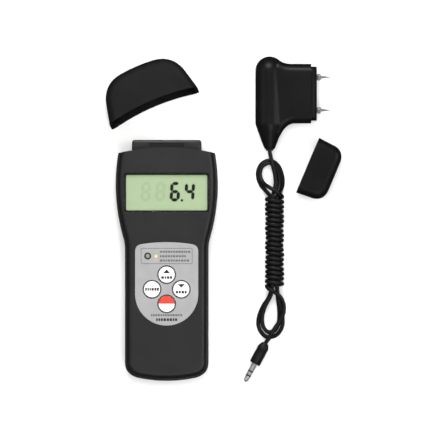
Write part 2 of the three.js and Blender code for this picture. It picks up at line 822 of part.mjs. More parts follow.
probeScrews.forEach(([x, y], i) => {
  const screw = turned(
    [
      [0, 1.4],
      [1.9, 1.4],
      [1.9, 2.9],
      [0.75, 2.9],
      [0.75, 14],
      [0, 14.8],
    ],
    12,
  ).rotateX(Math.PI / 2);
  add(`probe_screw_${i + 1}`, screw, "steel", probe).position.set(x, y, 0);
});
add(
  "cord_bush",
  turned([
    [cordRadius + 0.25, -tailFoot - 0.8],
    [bushRadius, -tailFoot - 0.8],
    [bushRadius, -tailFoot + 7.5],
    [cordRadius + 0.25, -tailFoot + 7.5],
    [cordRadius + 0.25, -tailFoot - 0.8],
  ]).translate(0, 0, handleRadius),
  "rubberBlack",
  probe,
);

// ---- pin carrier, closing the block's end; the cap pushes on over its collar
const collarEnd = blockReach + gap + collarReach;
const socketRadius = 1.7;
function pinCarrier() {
  const collar = keep(
    slab(
      rectangle(blockReach - 12, -blockHalf + collarInset, collarEnd, blockHalf - collarInset),
      collarInset,
      probeThickness - collarInset,
      { round: blockRound - 1.5, rise: blockRoundHeight - 1.5, segments: 3 },
    ),
    box([blockReach + gap, -far, -far], [far, far, far]),
  );
  const face = box(
    [blockReach + gap, -blockHalf + 4, collarInset + 2.2],
    [collarEnd, blockHalf - 4, probeThickness - collarInset - 2.2],
  );
  const root = box(
    [blockReach - 6, -cavityHalf + gap, cavityLow + gap],
    [blockReach + gap + 0.5, cavityHalf - gap, cavityHigh - gap],
  );
  return cut(
    join(collar, face, root),
    ...[-1, 1].map((s) =>
      rod(socketRadius + 0.15, -far, far)
        .rotateY(Math.PI / 2)
        .translate(0, (s * pinSpacing) / 2, handleRadius),
    ),
  );
}
add("pin_carrier", pinCarrier(), "probeBlack", probe);
for (const [name, side] of [
  ["upper", 1],
  ["lower", -1],
]) {
  const place = (mesh) => {
    mesh.rotation.z = -Math.PI / 2;
    mesh.position.set(0, (side * pinSpacing) / 2, handleRadius);
  };
  const nutFoot = collarEnd + gap;
  const nutTop = nutFoot + nutLength;
  const socket = turned([
    [0, blockReach - 11],
    [socketRadius, blockReach - 11],
    [socketRadius, nutFoot + 0.9],
    [pinRadius + 0.1, nutFoot + 0.9],
    [pinRadius + 0.1, blockReach - 8],
    [0, blockReach - 8],
  ]);
  place(add(`pin_socket_${name}`, socket, "brass", probe));
  const needle = turned([
    [0, blockReach - 7.5],
    [pinRadius, blockReach - 7.5],
    [pinRadius, nutTop + 0.6],
    [0, nutTop + pinReach],
  ]);
  place(add(`needle_${name}`, needle, "steel", probe));
  const nut = turned(
    [
      [socketRadius + 0.2, nutFoot],
      [nutRadius, nutFoot],
      [nutRadius, nutTop - 0.5],
      [nutRadius - 0.6, nutTop],
      [pinRadius + 0.15, nutTop],
      [pinRadius + 0.15, nutFoot + 1.2],
      [socketRadius + 0.2, nutFoot + 1.2],
      [socketRadius + 0.2, nutFoot],
    ],
    12,
  );
  place(add(`needle_nut_${name}`, nut, "steel", probe));
}

// ---- pin cap, off and lying beside the probe
// Local frame: x from its rim to its closed end.
function pinCap() {
  const body = (inset) => {
    const end = blockHalf - capDraft;
    const shape = new THREE.Shape();
    shape.moveTo(-20, -blockHalf);
    shape.lineTo(0, -blockHalf);
    shape.lineTo(capDepth - capCorner, -end);
    shape.bezierCurveTo(capDepth - 3.5, -end, capDepth, -end + 3.5, capDepth, -end + capCorner);
    shape.lineTo(capDepth, end - capCorner);
    shape.bezierCurveTo(capDepth, end - 3.5, capDepth - 3.5, end, capDepth - capCorner, end);
    shape.lineTo(0, blockHalf);
    shape.lineTo(-20, blockHalf);
    return slab(shape, inset, probeThickness - inset, {
      inset,
      round: blockRound - inset / 2,
      rise: blockRoundHeight - inset / 2,
      segments: inset ? 3 : 4,
      curve: 5,
    });
  };
  return cut(body(0), body(capWall), box([-far, -far, -far], [0, far, far]));
}
const capGroup = new THREE.Group();
capGroup.position.set(capAt[0], capAt[1], 0.02);
capGroup.rotation.z = THREE.MathUtils.degToRad(capTurn);
group.add(capGroup);
add("pin_cap", pinCap(), "probeBlack", capGroup);

// ---------------------------------------------------------------- the lead
// One cord: out of the probe, four passes through the winding with a loop at each end of it, then the
// winding round those passes, and the plug. Points chosen by hand, one list for each free stretch.
const windZ = windRadius + cordRadius + 0.05;
const low = windZ - coreOffset;
const high = windZ + coreOffset;
const left = windAxis - coreOffset;
const right = windAxis + coreOffset;
const routes = {
  lead_tail: [
    [70.6, 82, 9.8],
    [70.6, 75.4, 9.8],
    [72.3, 66.7, 9.2],
    [74.2, 59, 8.1],
    [74.7, 52.3, 7.7],
    [73.2, 46, 8.6],
  ],
  lead_foot_loop_1: [
    [71.4, -24, 8],
    [68.2, -30, 6.4],
    [65.6, -38, 4.2],
    [66.1, -45.4, 2.6],
    [69.8, -49.6, 1.5],
    [74.4, -48, 1.45],
    [77, -42, 1.45],
    [77.2, -34, 2],
    [76.2, -25, 4.4],
  ],
  lead_top_loop_1: [
    [77.4, 46.2, 3.2],
    [79.6, 52, 1.45],
    [79.2, 59, 1.45],
    [75.8, 66, 1.45],
    [70, 68.6, 1.45],
    [64.4, 65.6, 1.45],
    [62.4, 58.6, 1.45],
    [64.8, 51.5, 1.9],
    [69.3, 46.4, 4.2],
  ],
  lead_foot_loop_2: [
    [70.6, -24.5, 4.6],
    [66.2, -31.5, 2.4],
    [63.2, -39, 1.45],
    [63.2, -46.4, 1.45],
    [68, -52.6, 1.45],
    [74.6, -52, 1.6],
    [79, -46.4, 3],
    [79.6, -39.4, 4.4],
    [77.8, -30.5, 6.2],
    [76.3, -24.5, 8],
  ],
  lead_top_loop_2: [
    [76.4, 46.8, 6.6],
    [77.6, 52, 4.6],
    [77, 58.6, 3.8],
    [74.4, 64.8, 3.9],
    [70, 67.1, 4],
    [65.4, 64.4, 3.9],
    [63.9, 58.4, 4],
    [66.4, 53, 6.4],
    [70.6, 50, 10.6],
    [75, 47.4, 12.2],
  ],
  lead_end: [
    [70, -19.6, 10.8],
    [74.2, -22, 11.9],
    [78.2, -25.4, 10],
    [80.4, -30.6, 8.2],
    [80.2, -36.2, 7.6],
    [77.6, -41.6, 7.4],
    [73.8, -47.2, 6.4],
    [70.9, -52.4, 5.1],
  ],
};
const windFoot = windTop - windTurns * windPitch;
const onWinding = (turns) => {
  const a = -2 * Math.PI * turns;
  return [windAxis + windRadius * Math.cos(a), windTop - windPitch * turns, windZ + windRadius * Math.sin(a)];
};
const coreTop = windTop - cordRadius + 0.1;
const coreFoot = windFoot + cordRadius - 0.6;
const passes = {
  a: [left, high],
  b: [right, low],
  c: [left, low],
  d: [right, high],
};
// The two points of a pass that lie just inside an end of the winding, in the order the cord meets them.
const entering = ([x, z], y, step) => [
  [x, y + step, z],
  [x, y + 4 * step, z],
];
const leaving = (pass, y, step) => entering(pass, y, step).reverse();

// A stretch of the cord through its points, as far as it lies outside the winding.
function tube(points, steps, outside) {
  const curve = new THREE.CatmullRomCurve3(points.map((p) => new THREE.Vector3(...p)));
  const path = new THREE.CatmullRomCurve3(curve.getSpacedPoints(4 * steps).filter(outside));
  const section = new THREE.Shape().absarc(0, 0, cordRadius - 0.05, 0, 2 * Math.PI);
  return new THREE.ExtrudeGeometry(section, { extrudePath: path, steps, curveSegments: 4 });
}
const clearTop = (p) => p.y > coreTop + gap + 0.4;
const clearFoot = (p) => p.y < coreFoot - gap - 0.4;
const clearTopCrossing = (p) => p.y > coreTop + gap + cordRadius;
const clearFootCrossing = (p) => p.y < coreFoot - gap - cordRadius;
const plugDirection = new THREE.Vector2(
  Math.sin(THREE.MathUtils.degToRad(plugTurn)),
  -Math.cos(THREE.MathUtils.degToRad(plugTurn)),
);
const plugZ = plugRadius + 0.05;
const alongPlug = (d, z = plugZ) => [plugAt[0] + plugDirection.x * d, plugAt[1] + plugDirection.y * d, z];
const plugEntry = alongPlug(-plugLength);
const intoPlug = alongPlug(-plugLength + 6);

add(
  "lead_tail",
  tube([...routes.lead_tail, ...entering(passes.a, coreTop, -1)], 10, clearTop),
  "cord",
);
add(
  "lead_foot_loop_1",
  tube(
    [
      ...leaving(passes.a, coreFoot, 1),
      ...routes.lead_foot_loop_1,
      ...entering(passes.b, coreFoot, 1),
    ],
    18,
    clearFoot,
  ),
  "cord",
);
add(
  "lead_top_loop_1",
  tube(
    [
      ...leaving(passes.b, coreTop, -1),
      ...routes.lead_top_loop_1,
      ...entering(passes.c, coreTop, -1),
    ],
    16,
    clearTop,
  ),
  "cord",
);
add(
  "lead_foot_loop_2",
  tube(
    [
      ...leaving(passes.c, coreFoot, 1),
      ...routes.lead_foot_loop_2,
      ...entering(passes.d, coreFoot, 1),
    ],
    18,
    clearFoot,
  ),
  "cord",
);
add(
  "lead_top_loop_2",
  tube(
    [
      ...leaving(passes.d, coreTop, -1),
      ...routes.lead_top_loop_2,
      onWinding(-0.08),
      onWinding(0),
    ],
    18,
    clearTopCrossing,
  ),
  "cord",
);
add(
  "lead_end",
  tube(
    [
      onWinding(windTurns - 0.1),
      onWinding(windTurns),
      ...routes.lead_end,
      plugEntry,
      intoPlug,
    ],
    13,
    clearFootCrossing,
  ),
  "cord",
);
add(
  "lead_wrap",
  turned(
    [
      [0, coreFoot],
      [windRadius + cordRadius - 0.6, coreFoot],
      [windRadius + cordRadius, coreFoot + 0.8],
      [windRadius + cordRadius, coreTop - 0.8],
      [windRadius + cordRadius - 0.6, coreTop],
      [0, coreTop],
    ],
    20,
  ).translate(windAxis, 0, windZ),
  "cord",
);

// ---- jack plug, lying on the surface
// Local frame: Y along the plug towards its tip, 0 at the shoulder of its metal end.
const plug = new THREE.Group();
plug.position.set(plugAt[0], plugAt[1], plugZ);
plug.rotation.z = Math.PI + THREE.MathUtils.degToRad(plugTurn);
group.add(plug);
add(
  "plug_body",
  turned([
    [cordRadius + 0.3, -plugLength],
    [plugRadius - 1.3, -plugLength],
    [plugRadius, -plugLength + 2.6],
    [plugRadius, -0.4],
    [plugRadius - 0.4, 0],
    [jackRadius - 0.4, 0],
    [jackRadius - 0.4, -7],
    [cordRadius + 0.3, -7.2],
    [cordRadius + 0.3, -plugLength],
  ]),
  "cord",
  plug,
);
const band = 0.7;
const sleeveEnd = 5.6;
const ringEnd = sleeveEnd + band + 2.6;
const tipStart = ringEnd + band;
const coreRadius = 0.75;
const hollowBand = (y0, y1) =>
  turned([
    [coreRadius + 0.1, y0],
    [jackRadius, y0],
    [jackRadius, y1],
    [coreRadius + 0.1, y1],
    [coreRadius + 0.1, y0],
  ]);
add("plug_sleeve", hollowBand(0.1, sleeveEnd), "steel", plug);
add("plug_ring", hollowBand(sleeveEnd + band, ringEnd), "steel", plug);
add(
  "plug_tip",
  turned([
    [0, tipStart + 0.05],
    [jackRadius, tipStart + 0.05],
    [jackRadius, tipStart + 1],
    [jackRadius - 0.45, tipStart + 1.9],
    [jackRadius - 0.1, tipStart + 2.6],
    [0.7, jackLength - 0.2],
    [0, jackLength],
  ]),
  "steel",
  plug,
);
add(
  "plug_insulator",
  turned([
    [0, -6],
    [coreRadius, -6],
    [coreRadius, sleeveEnd + 0.05],
    [jackRadius - 0.05, sleeveEnd + 0.05],
    [jackRadius - 0.05, sleeveEnd + band - 0.05],
    [coreRadius, sleeveEnd + band - 0.05],
    [coreRadius, ringEnd + 0.05],
    [jackRadius - 0.05, ringEnd + 0.05],
    [jackRadius - 0.05, tipStart],
    [0, tipStart],
  ]),
  "chip",
  plug,
);

export default group;
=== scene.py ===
import math
import random

import bpy
import bmesh
from mathutils import Matrix, Vector


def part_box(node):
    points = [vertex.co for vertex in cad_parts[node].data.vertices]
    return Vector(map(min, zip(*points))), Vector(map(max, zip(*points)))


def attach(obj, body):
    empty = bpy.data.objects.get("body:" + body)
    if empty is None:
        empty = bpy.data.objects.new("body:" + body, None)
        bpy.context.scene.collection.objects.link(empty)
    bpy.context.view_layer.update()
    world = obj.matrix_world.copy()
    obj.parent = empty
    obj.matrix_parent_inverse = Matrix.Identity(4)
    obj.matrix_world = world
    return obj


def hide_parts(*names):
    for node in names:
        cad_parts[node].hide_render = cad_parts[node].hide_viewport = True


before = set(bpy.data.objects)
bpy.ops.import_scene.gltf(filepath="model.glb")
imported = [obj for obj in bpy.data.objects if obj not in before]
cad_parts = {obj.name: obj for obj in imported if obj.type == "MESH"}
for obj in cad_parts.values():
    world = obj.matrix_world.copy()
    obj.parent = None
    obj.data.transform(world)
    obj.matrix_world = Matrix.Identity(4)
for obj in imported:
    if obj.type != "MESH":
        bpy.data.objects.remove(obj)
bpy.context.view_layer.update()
mm = 0.001


# ---- camera and stage
studio = {
    "centre": (36.5, 27.7),  # what the camera looks straight down at, mm
    "frameWidth": 302.9,
    "distance": 4200,
    "sensor": 36,
    "floorSize": 6000,
    "floorColor": "#f4f4f3",
    "skyStrength": 0.13,
}
# name: size, place from the centre, power in watts, whether it shows as a highlight
softboxes = {
    "overheadSoftbox": (2000, (0, 0, 1700), 37, False),
    "leftSoftbox": (1100, (-1750, 250, 1250), 4, True),
    "rightSoftbox": (1100, (1750, 100, 1250), 13, True),
    "topSoftbox": (380, (-60, 520, 480), 3.4, True),
    "footSoftbox": (300, (240, -640, 1150), 3.2, True),
}


def linearColor(hexText):
    channels = [int(hexText[i : i + 2], 16) / 255 for i in (1, 3, 5)]
    return [c / 12.92 if c <= 0.04045 else ((c + 0.055) / 1.055) ** 2.4 for c in channels] + [1.0]


def addNode(tree, kind, settings=None, links=None):
    # settings go to the node's own fields or its inputs, links are input: (node, output)
    node = tree.nodes.new(kind)
    for key, value in (settings or {}).items():
        if isinstance(key, str) and hasattr(node, key):
            setattr(node, key, value)
        else:
            node.inputs[key].default_value = value
    for key, (source, output) in (links or {}).items():
        tree.links.new(source.outputs[output], node.inputs[key])
    return node


def makeCamera(s):
    data = bpy.data.cameras.new("camera")
    data.sensor_width = s["sensor"]
    data.lens = s["sensor"] * s["distance"] / s["frameWidth"]
    data.clip_end = 50
    camera = bpy.data.objects.new("camera", data)
    camera.location = (s["centre"][0] * mm, s["centre"][1] * mm, s["distance"] * mm)
    bpy.context.collection.objects.link(camera)
    bpy.context.scene.camera = camera


def makeLight(name, size, place, power, aim=(0, 0, 0)):
    data = bpy.data.lights.new(name, "AREA")
    data.shape = "DISK"
    data.size = size * mm
    data.energy = power
    light = bpy.data.objects.new(name, data)
    light.location = Vector(place) * mm
    light.rotation_euler = (Vector(aim) * mm - light.location).to_track_quat("-Z", "Y").to_euler()
    light.visible_camera = False
    bpy.context.collection.objects.link(light)
    return light


def makeStage(s):
    half = s["floorSize"] / 2 * mm
    mesh = bpy.data.meshes.new("floor")
    mesh.from_pydata(
        [(-half, -half, 0), (half, -half, 0), (half, half, 0), (-half, half, 0)], [], [(0, 1, 2, 3)]
    )
    floor = bpy.data.objects.new("floor", mesh)
    floor.location.z = -0.03 * mm
    floor.visible_glossy = False
    bpy.context.collection.objects.link(floor)
    paper = bpy.data.materials.new("paleFloor")
    paper.use_nodes = True
    shader = paper.node_tree.nodes["Principled BSDF"]
    shader.inputs["Base Color"].default_value = linearColor(s["floorColor"])
    shader.inputs["Roughness"].default_value = 0.9
    shader.inputs["Specular IOR Level"].default_value = 0.1
    mesh.materials.append(paper)
    x, y = s["centre"]
    for name, (size, (dx, dy, dz), power, shows) in softboxes.items():
        light = makeLight(name, size, (x + dx, y + dy, dz), power, (x, y, 0))
        light.visible_glossy = shows
    world = bpy.data.worlds.new("room")
    world.use_nodes = True
    bpy.context.scene.world = world
    tree = world.node_tree
    tree.nodes.clear()
    where = addNode(tree, "ShaderNodeTexCoord")
    height = addNode(tree, "ShaderNodeSeparateXYZ", links={"Vector": (where, "Generated")})
    # a room that is bright overhead and dim at the horizon
    ramp = addNode(tree, "ShaderNodeValToRGB", links={"Fac": (height, "Z")})
    ramp.color_ramp.elements[0].position = 0.0
    ramp.color_ramp.elements[0].color = linearColor("#8e8e8e")
    ramp.color_ramp.elements[1].position = 0.85
    ramp.color_ramp.elements[1].color = linearColor("#f6f6f6")
    sky = addNode(tree, "ShaderNodeBackground", {"Strength": s["skyStrength"]}, {"Color": (ramp, "Color")})
    addNode(tree, "ShaderNodeOutputWorld", links={"Surface": (sky, "Background")})
    view = bpy.context.scene.view_settings
    view.view_transform = "Standard"
    view.look = "None"


makeCamera(studio)
makeStage(studio)
print("camera and stage ready")


# ---- materials
def blankMaterial(name):
    material = bpy.data.materials.new(name)
    material.use_nodes = True
    tree = material.node_tree
    tree.nodes.clear()
    return material, tree


def perMm(size):
    # a pattern's scale in this file's metres, from its real size
    return 1000 / size


def surfaceOf(tree, settings, links):
    shader = addNode(tree, "ShaderNodeBsdfPrincipled", settings, links)
    addNode(tree, "ShaderNodeOutputMaterial", links={"Surface": (shader, "BSDF")})
    return shader


def mottledColor(tree, where, color, otherColor, size):
    cloud = addNode(
        tree,
        "ShaderNodeTexNoise",
        {"Scale": perMm(size), "Detail": 3.0},
        {"Vector": (where, "Object")},
    )
    ramp = addNode(tree, "ShaderNodeValToRGB", links={"Fac": (cloud, "Fac")})
    ramp.color_ramp.elements[0].position = 0.35
    ramp.color_ramp.elements[0].color = linearColor(color)
    ramp.color_ramp.elements[1].position = 0.7
    ramp.color_ramp.elements[1].color = linearColor(otherColor)
    return ramp


def rangeOf(tree, source, output, low, high):
    return addNode(
        tree, "ShaderNodeMapRange", {"To Min": low, "To Max": high}, {"Value": (source, output)}
    )


def mouldedAbs(name, look):
    # injection-moulded ABS with a spark-eroded skin: tiny even pits that break up the gloss
    material, tree = blankMaterial(name)
    where = addNode(tree, "ShaderNodeTexCoord")
    tone = mottledColor(tree, where, look["color"], look["otherColor"], look["cloud"])
    pits = addNode(
        tree,
        "ShaderNodeTexNoise",
        {"Scale": perMm(look["grain"]), "Detail": 2.0},
        {"Vector": (where, "Object")},
    )
    rub = addNode(
        tree,
        "ShaderNodeTexNoise",
        {"Scale": perMm(14), "Detail": 4.0},
        {"Vector": (where, "Object")},
    )
    rough = rangeOf(tree, rub, "Fac", look["roughness"] - 0.06, look["roughness"] + 0.08)
    bump = addNode(
        tree, "ShaderNodeBump", {"Strength": look["bump"], "Distance": 0.00008}, {"Height": (pits, "Fac")}
    )
    surfaceOf(
        tree,
        {"IOR": look["ior"], "Specular IOR Level": look["specular"]},
        {"Base Color": (tone, "Color"), "Roughness": (rough, "Result"), "Normal": (bump, "Normal")},
    )
    return material


def turnedMetal(name, look):
    # bright turned metal: fine rings left by the tool, a little uneven gloss
    material, tree = blankMaterial(name)
    where = addNode(tree, "ShaderNodeTexCoord")
    tone = mottledColor(tree, where, look["color"], look["otherColor"], 3)
    lines = addNode(
        tree,
        "ShaderNodeTexNoise",
        {"Scale": perMm(0.35), "Detail": 2.0},
        {"Vector": (where, "Object")},
    )
    rough = rangeOf(tree, lines, "Fac", look["roughness"] - 0.05, look["roughness"] + 0.1)
    bump = addNode(
        tree, "ShaderNodeBump", {"Strength": 0.06, "Distance": 0.00003}, {"Height": (lines, "Fac")}
    )
    surfaceOf(
        tree,
        {"Metallic": look["metallic"]},
        {"Base Color": (tone, "Color"), "Roughness": (rough, "Result"), "Normal": (bump, "Normal")},
    )
    return material


def plainSkin(name, color, otherColor, roughness, grain=0.5, bumpStrength=0.15, specular=0.5):
    # printed, painted or rubbery skins, told apart by their gloss and the size of their grain
    look = {
        "color": color,
        "otherColor": otherColor,
        "cloud": 6,
        "grain": grain,
        "roughness": roughness,
        "bump": bumpStrength,
        "specular": specular,
        "ior": 1.5,
    }
    return mouldedAbs(name, look)


def clearAcrylic(name):
    # polished acrylic sheet: the light goes straight through, and a clean gloss lies on top
    material, tree = blankMaterial(name)
    where = addNode(tree, "ShaderNodeTexCoord")
    haze = addNode(
        tree,
        "ShaderNodeTexNoise",
        {"Scale": perMm(9), "Detail": 2.0},
        {"Vector": (where, "Object")},
    )
    rough = rangeOf(tree, haze, "Fac", 0.03, 0.09)
    clear = addNode(tree, "ShaderNodeBsdfTransparent", {"Color": linearColor("#fafcf8")})
    gloss = addNode(tree, "ShaderNodeBsdfGlossy", links={"Roughness": (rough, "Result")})
    # more gloss the flatter the sheet is seen, from either of its faces
    facing = addNode(tree, "ShaderNodeLayerWeight", {"Blend": 0.5})
    steep = addNode(tree, "ShaderNodeMath", {"operation": "POWER", 1: 5.0}, {0: (facing, "Facing")})
    share = rangeOf(tree, steep, "Value", 0.02, 0.35)
    both = addNode(
        tree,
        "ShaderNodeMixShader",
        links={"Fac": (share, "Result"), 1: (clear, "BSDF"), 2: (gloss, "BSDF")},
    )
    addNode(tree, "ShaderNodeOutputMaterial", links={"Surface": (both, "Shader")})
    return material


def circuitBoard(name):
    # green solder mask over copper tracks
    material, tree = blankMaterial(name)
    where = addNode(tree, "ShaderNodeTexCoord")
    tracks = addNode(
        tree,
        "ShaderNodeTexBrick",
        {
            "Scale": perMm(8),
            "Color1": linearColor("#175a34"),
            "Color2": linearColor("#1a6339"),
            "Mortar": linearColor("#2e8050"),
            "Mortar Size": 0.03,
        },
        {"Vector": (where, "Object")},
    )
    glaze = addNode(
        tree,
        "ShaderNodeTexNoise",
        {"Scale": perMm(5), "Detail": 2.0},
        {"Vector": (where, "Object")},
    )
    rough = rangeOf(tree, glaze, "Fac", 0.28, 0.42)
    bump = addNode(
        tree, "ShaderNodeBump", {"Strength": 0.2, "Distance": 0.00003}, {"Height": (tracks, "Fac")}
    )
    surfaceOf(
        tree,
        {"IOR": 1.5},
        {"Base Color": (tracks, "Color"), "Roughness": (rough, "Result"), "Normal": (bump, "Normal")},
    )
    return material


def cellSleeve(name):
    # a dry cell's printed shrink sleeve: dark below, a warm band near the button end
    material, tree = blankMaterial(name)
    where = addNode(tree, "ShaderNodeTexCoord")
    along = addNode(tree, "ShaderNodeSeparateXYZ", links={"Vector": (where, "Generated")})
    bands = addNode(tree, "ShaderNodeValToRGB", links={"Fac": (along, "Y")})
    bands.color_ramp.interpolation = "CONSTANT"
    bands.color_ramp.elements[0].color = linearColor("#3b4148")
    bands.color_ramp.elements[1].position = 0.7
    bands.color_ramp.elements[1].color = linearColor("#b07a3c")
    scuffs = addNode(
        tree,
        "ShaderNodeTexNoise",
        {"Scale": perMm(4), "Detail": 5.0},
        {"Vector": (where, "Object")},
    )
    rough = rangeOf(tree, scuffs, "Fac", 0.25, 0.45)
    surfaceOf(tree, {"Metallic": 0.35}, {"Base Color": (bands, "Color"), "Roughness": (rough, "Result")})
    return material


finishes = {
    "meterCase": {
        "color": "#131314", "otherColor": "#171718", "cloud": 18, "grain": 0.55,
        "roughness": 0.46, "bump": 0.5, "specular": 0.5, "ior": 1.53,
    },
    "coverCase": {
        "color": "#0c0c0d", "otherColor": "#101011", "cloud": 15, "grain": 0.55,
        "roughness": 0.56, "bump": 0.45, "specular": 0.11, "ior": 1.53,
    },
    "probeCase": {
        "color": "#0b0b0c", "otherColor": "#0f0f10", "cloud": 12, "grain": 0.45,
        "roughness": 0.38, "bump": 0.25, "specular": 0.16, "ior": 1.53,
    },
    "steel": {"color": "#9fa0a2", "otherColor": "#8c8d90", "roughness": 0.3, "metallic": 0.9},
    "nickel": {"color": "#d6d5d2", "otherColor": "#c6c5c2", "roughness": 0.3, "metallic": 0.85},
}
caseAbs = mouldedAbs("texturedCaseAbs", finishes["meterCase"])
coverAbs = mouldedAbs("texturedCoverAbs", finishes["coverCase"])
probeAbs = mouldedAbs("satinProbeAbs", finishes["probeCase"])
needleSteel = turnedMetal("polishedSteel", finishes["steel"])
plugNickel = turnedMetal("nickelPlate", finishes["nickel"])
cordPvc = plainSkin("extrudedPvc", "#0e0e0f", "#131314", 0.42, 1.2, 0.2, 0.24)
softRubber = plainSkin("mouldedRubber", "#151515", "#1b1b1b", 0.7, 0.4, 0.3, 0.3)
silverPrint = plainSkin("silverPrintedPolyester", "#8b8b8c", "#909091", 0.36, 0.25, 0.12)
keyWhite = plainSkin("whiteKeyAbs", "#e4e4e3", "#e8e8e7", 0.4, 0.5, 0.08)
keyRed = plainSkin("redInk", "#bd3422", "#c13826", 0.45, 0.5, 0.08)
darkInk = plainSkin("darkInk", "#1b1b1c", "#202021", 0.5, 0.5, 0.08)
greyInk = plainSkin("greyInk", "#515152", "#565657", 0.5, 0.5, 0.08)
greenInk = plainSkin("greenInk", "#7fa069", "#84a56e", 0.5, 0.5, 0.08)
yellowInk = plainSkin("yellowInk", "#d6c27a", "#dbc780", 0.5, 0.5, 0.08)
redInkSoft = plainSkin("softRedInk", "#b98078", "#be857d", 0.5, 0.5, 0.08)
lcdGlass = plainSkin("lcdPolariser", "#9ba88f", "#9daa91", 0.45, 2.0, 0.03, 0.3)
segmentInk = plainSkin("liquidCrystalOn", "#10170f", "#131a12", 0.5, 1.0, 0.03, 0.2)
ghostInk = plainSkin("liquidCrystalOff", "#94a189", "#96a38b", 0.5, 1.0, 0.03, 0.3)
lampLens = plainSkin("diffusedLampResin", "#77776f", "#86867d", 0.25, 1.0, 0.05)
windowAcrylic = clearAcrylic("polishedAcrylic")
boardGreen = circuitBoard("solderMask")
chipEpoxy = plainSkin("epoxyPackage", "#131313", "#191919", 0.5, 0.3, 0.2)
sleeve = cellSleeve("cellSleeve")
print("materials ready")


# ---- mesh making, in mm until the last step
def meshPiece(name, verts, faces):
    mesh = bpy.data.meshes.new(name)
    mesh.from_pydata([tuple(c * mm for c in v) for v in verts], [], faces)
    mesh.update()
    piece = bpy.data.objects.new(name, mesh)
    bpy.context.collection.objects.link(piece)
    return piece


def loft(name, rings, ringed=False):
    count = len(rings[0])
    verts = [p for ring in rings for p in ring]
    faces = []
    last = len(rings) if ringed else len(rings) - 1
    for r in range(last):
        a = r * count
        b = (r + 1) % len(rings) * count
        for i in range(count):
            j = (i + 1) % count
            faces.append((a + i, a + j, b + j, b + i))
    if not ringed:
        faces.append(tuple(reversed(range(count))))
        faces.append(tuple(range((len(rings) - 1) * count, len(rings) * count)))
    return meshPiece(name, verts, faces)


def settle(piece):
    # leaves the piece as the mesh that its modifiers make
    graph = bpy.context.evaluated_depsgraph_get()
    mesh = bpy.data.meshes.new_from_object(piece.evaluated_get(graph), depsgraph=graph)
    piece.modifiers.clear()
    piece.data = mesh
    mesh.name = piece.name
    return piece


def carve(piece, tools, operation="DIFFERENCE"):
    for tool in tools:
        step = piece.modifiers.new("carve", "BOOLEAN")
        step.operation = operation
        step.object = tool
        step.solver = "MANIFOLD"
    settle(piece)
    for tool in tools:
        bpy.data.objects.remove(tool, do_unlink=True)
    return piece


def smoothed(piece, angle=32):
    piece.data.shade_smooth()
    piece.data.set_sharp_from_angle(angle=math.radians(angle))
    return piece


def dress(piece, material, body, slotName, *nodes):
    # gives a finished piece its material, its body and the CAD nodes that it stands for
    piece.data.materials.clear()
    piece.data.materials.append(material)
    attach(piece, body)
    if nodes:
        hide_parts(*nodes)
    return piece


def bezierPoints(points, count):
    # a curve of any degree through its first and last point, without its first one
    found = []
    for k in range(1, count + 1):
        row = [Vector(p) for p in points]
        while len(row) > 1:
            row = [a.lerp(b, k / count) for a, b in zip(row, row[1:])]
        found.append(tuple(row[0]))
    return found


def arcPoints(x, y, radius, start, end, count):
    turns = [start + (end - start) * k / count for k in range(count + 1)]
    return [(x + radius * math.cos(t), y + radius * math.sin(t)) for t in turns]


def mirrored(points):
    # the other half of an outline whose first half runs up the +X side
    return points + [(-x, y) for x, y in reversed(points) if abs(x) > 1e-6]


def insetOutline(points, inset):
    if abs(inset) < 1e-9:
        return points
    moved = []
    for i, p in enumerate(points):
        here, before, after = Vector(p), Vector(points[i - 1]), Vector(points[(i + 1) % len(points)])
        u, v = (here - before).normalized(), (after - here).normalized()
        n = Vector((-u.y, u.x)) + Vector((-v.y, v.x))
        n.normalize()
        moved.append(tuple(here + n * inset / max(0.35, n.dot(Vector((-u.y, u.x))))))
    return moved


def slab(name, outline, stations):
    rings = [[(x, y, z) for x, y in insetOutline(outline, inset)] for z, inset in stations]
    return loft(name, rings)


def edgeStations(low, high, round=0.0, rise=None, start=0.0, steps=6, both=True):
    # heights and insets of a slab with rounded edges, with a flat rim before each face
    rise = round if rise is None else rise
    turns = [math.pi / 2 * k / steps for k in range(steps + 1)]
    upper = [(high - rise + rise * math.sin(t), start + round * (1 - math.cos(t))) for t in turns]
    upper.append((high, start + round + 0.4))
    lower = [(low + high - z, inset) for z, inset in reversed(upper)] if both else [(low, start)]
    return lower + upper


def roundRect(x0, y0, x1, y1, corner, steps=6):
    q = math.pi / 2
    places = [(x1 - corner, y0 + corner, -q), (x1 - corner, y1 - corner, 0), (x0 + corner, y1 - corner, q)]
    places.append((x0 + corner, y0 + corner, 2 * q))
    return [p for x, y, t in places for p in arcPoints(x, y, corner, t, t + q, steps)]


def boxPiece(name, low, high):
    outline = [(low[0], low[1]), (high[0], low[1]), (high[0], high[1]), (low[0], high[1])]
    return slab(name, outline, [(low[2], 0), (high[2], 0)])


def cutBox(low, high):
    return boxPiece("tool", low, high)


def softBox(name, low, high, radius, segments=4):
    piece = boxPiece(name, low, high)
    step = piece.modifiers.new("edges", "BEVEL")
    step.width = radius * mm
    step.segments = segments
    return settle(piece)


def turned(name, profile, axis="Z", place=(0, 0, 0), sides=64, ringed=False):
    # a turned piece from (radius, height) pairs, outside up; ringed closes a tube's profile on itself
    rings = []
    for radius, height in profile:
        ring = []
        for k in range(sides):
            t = 2 * math.pi * k / sides
            ring.append((max(radius, 0.01) * math.cos(t), max(radius, 0.01) * math.sin(t), height))
        rings.append(ring)
    piece = loft(name, rings, ringed)
    turns = {
        "Z": Matrix(),
        "Y": Matrix.Rotation(-math.pi / 2, 4, "X"),
        "X": Matrix.Rotation(math.pi / 2, 4, "Y"),
    }
    piece.data.transform(Matrix.Translation(Vector(place) * mm) @ turns[axis])
    return piece


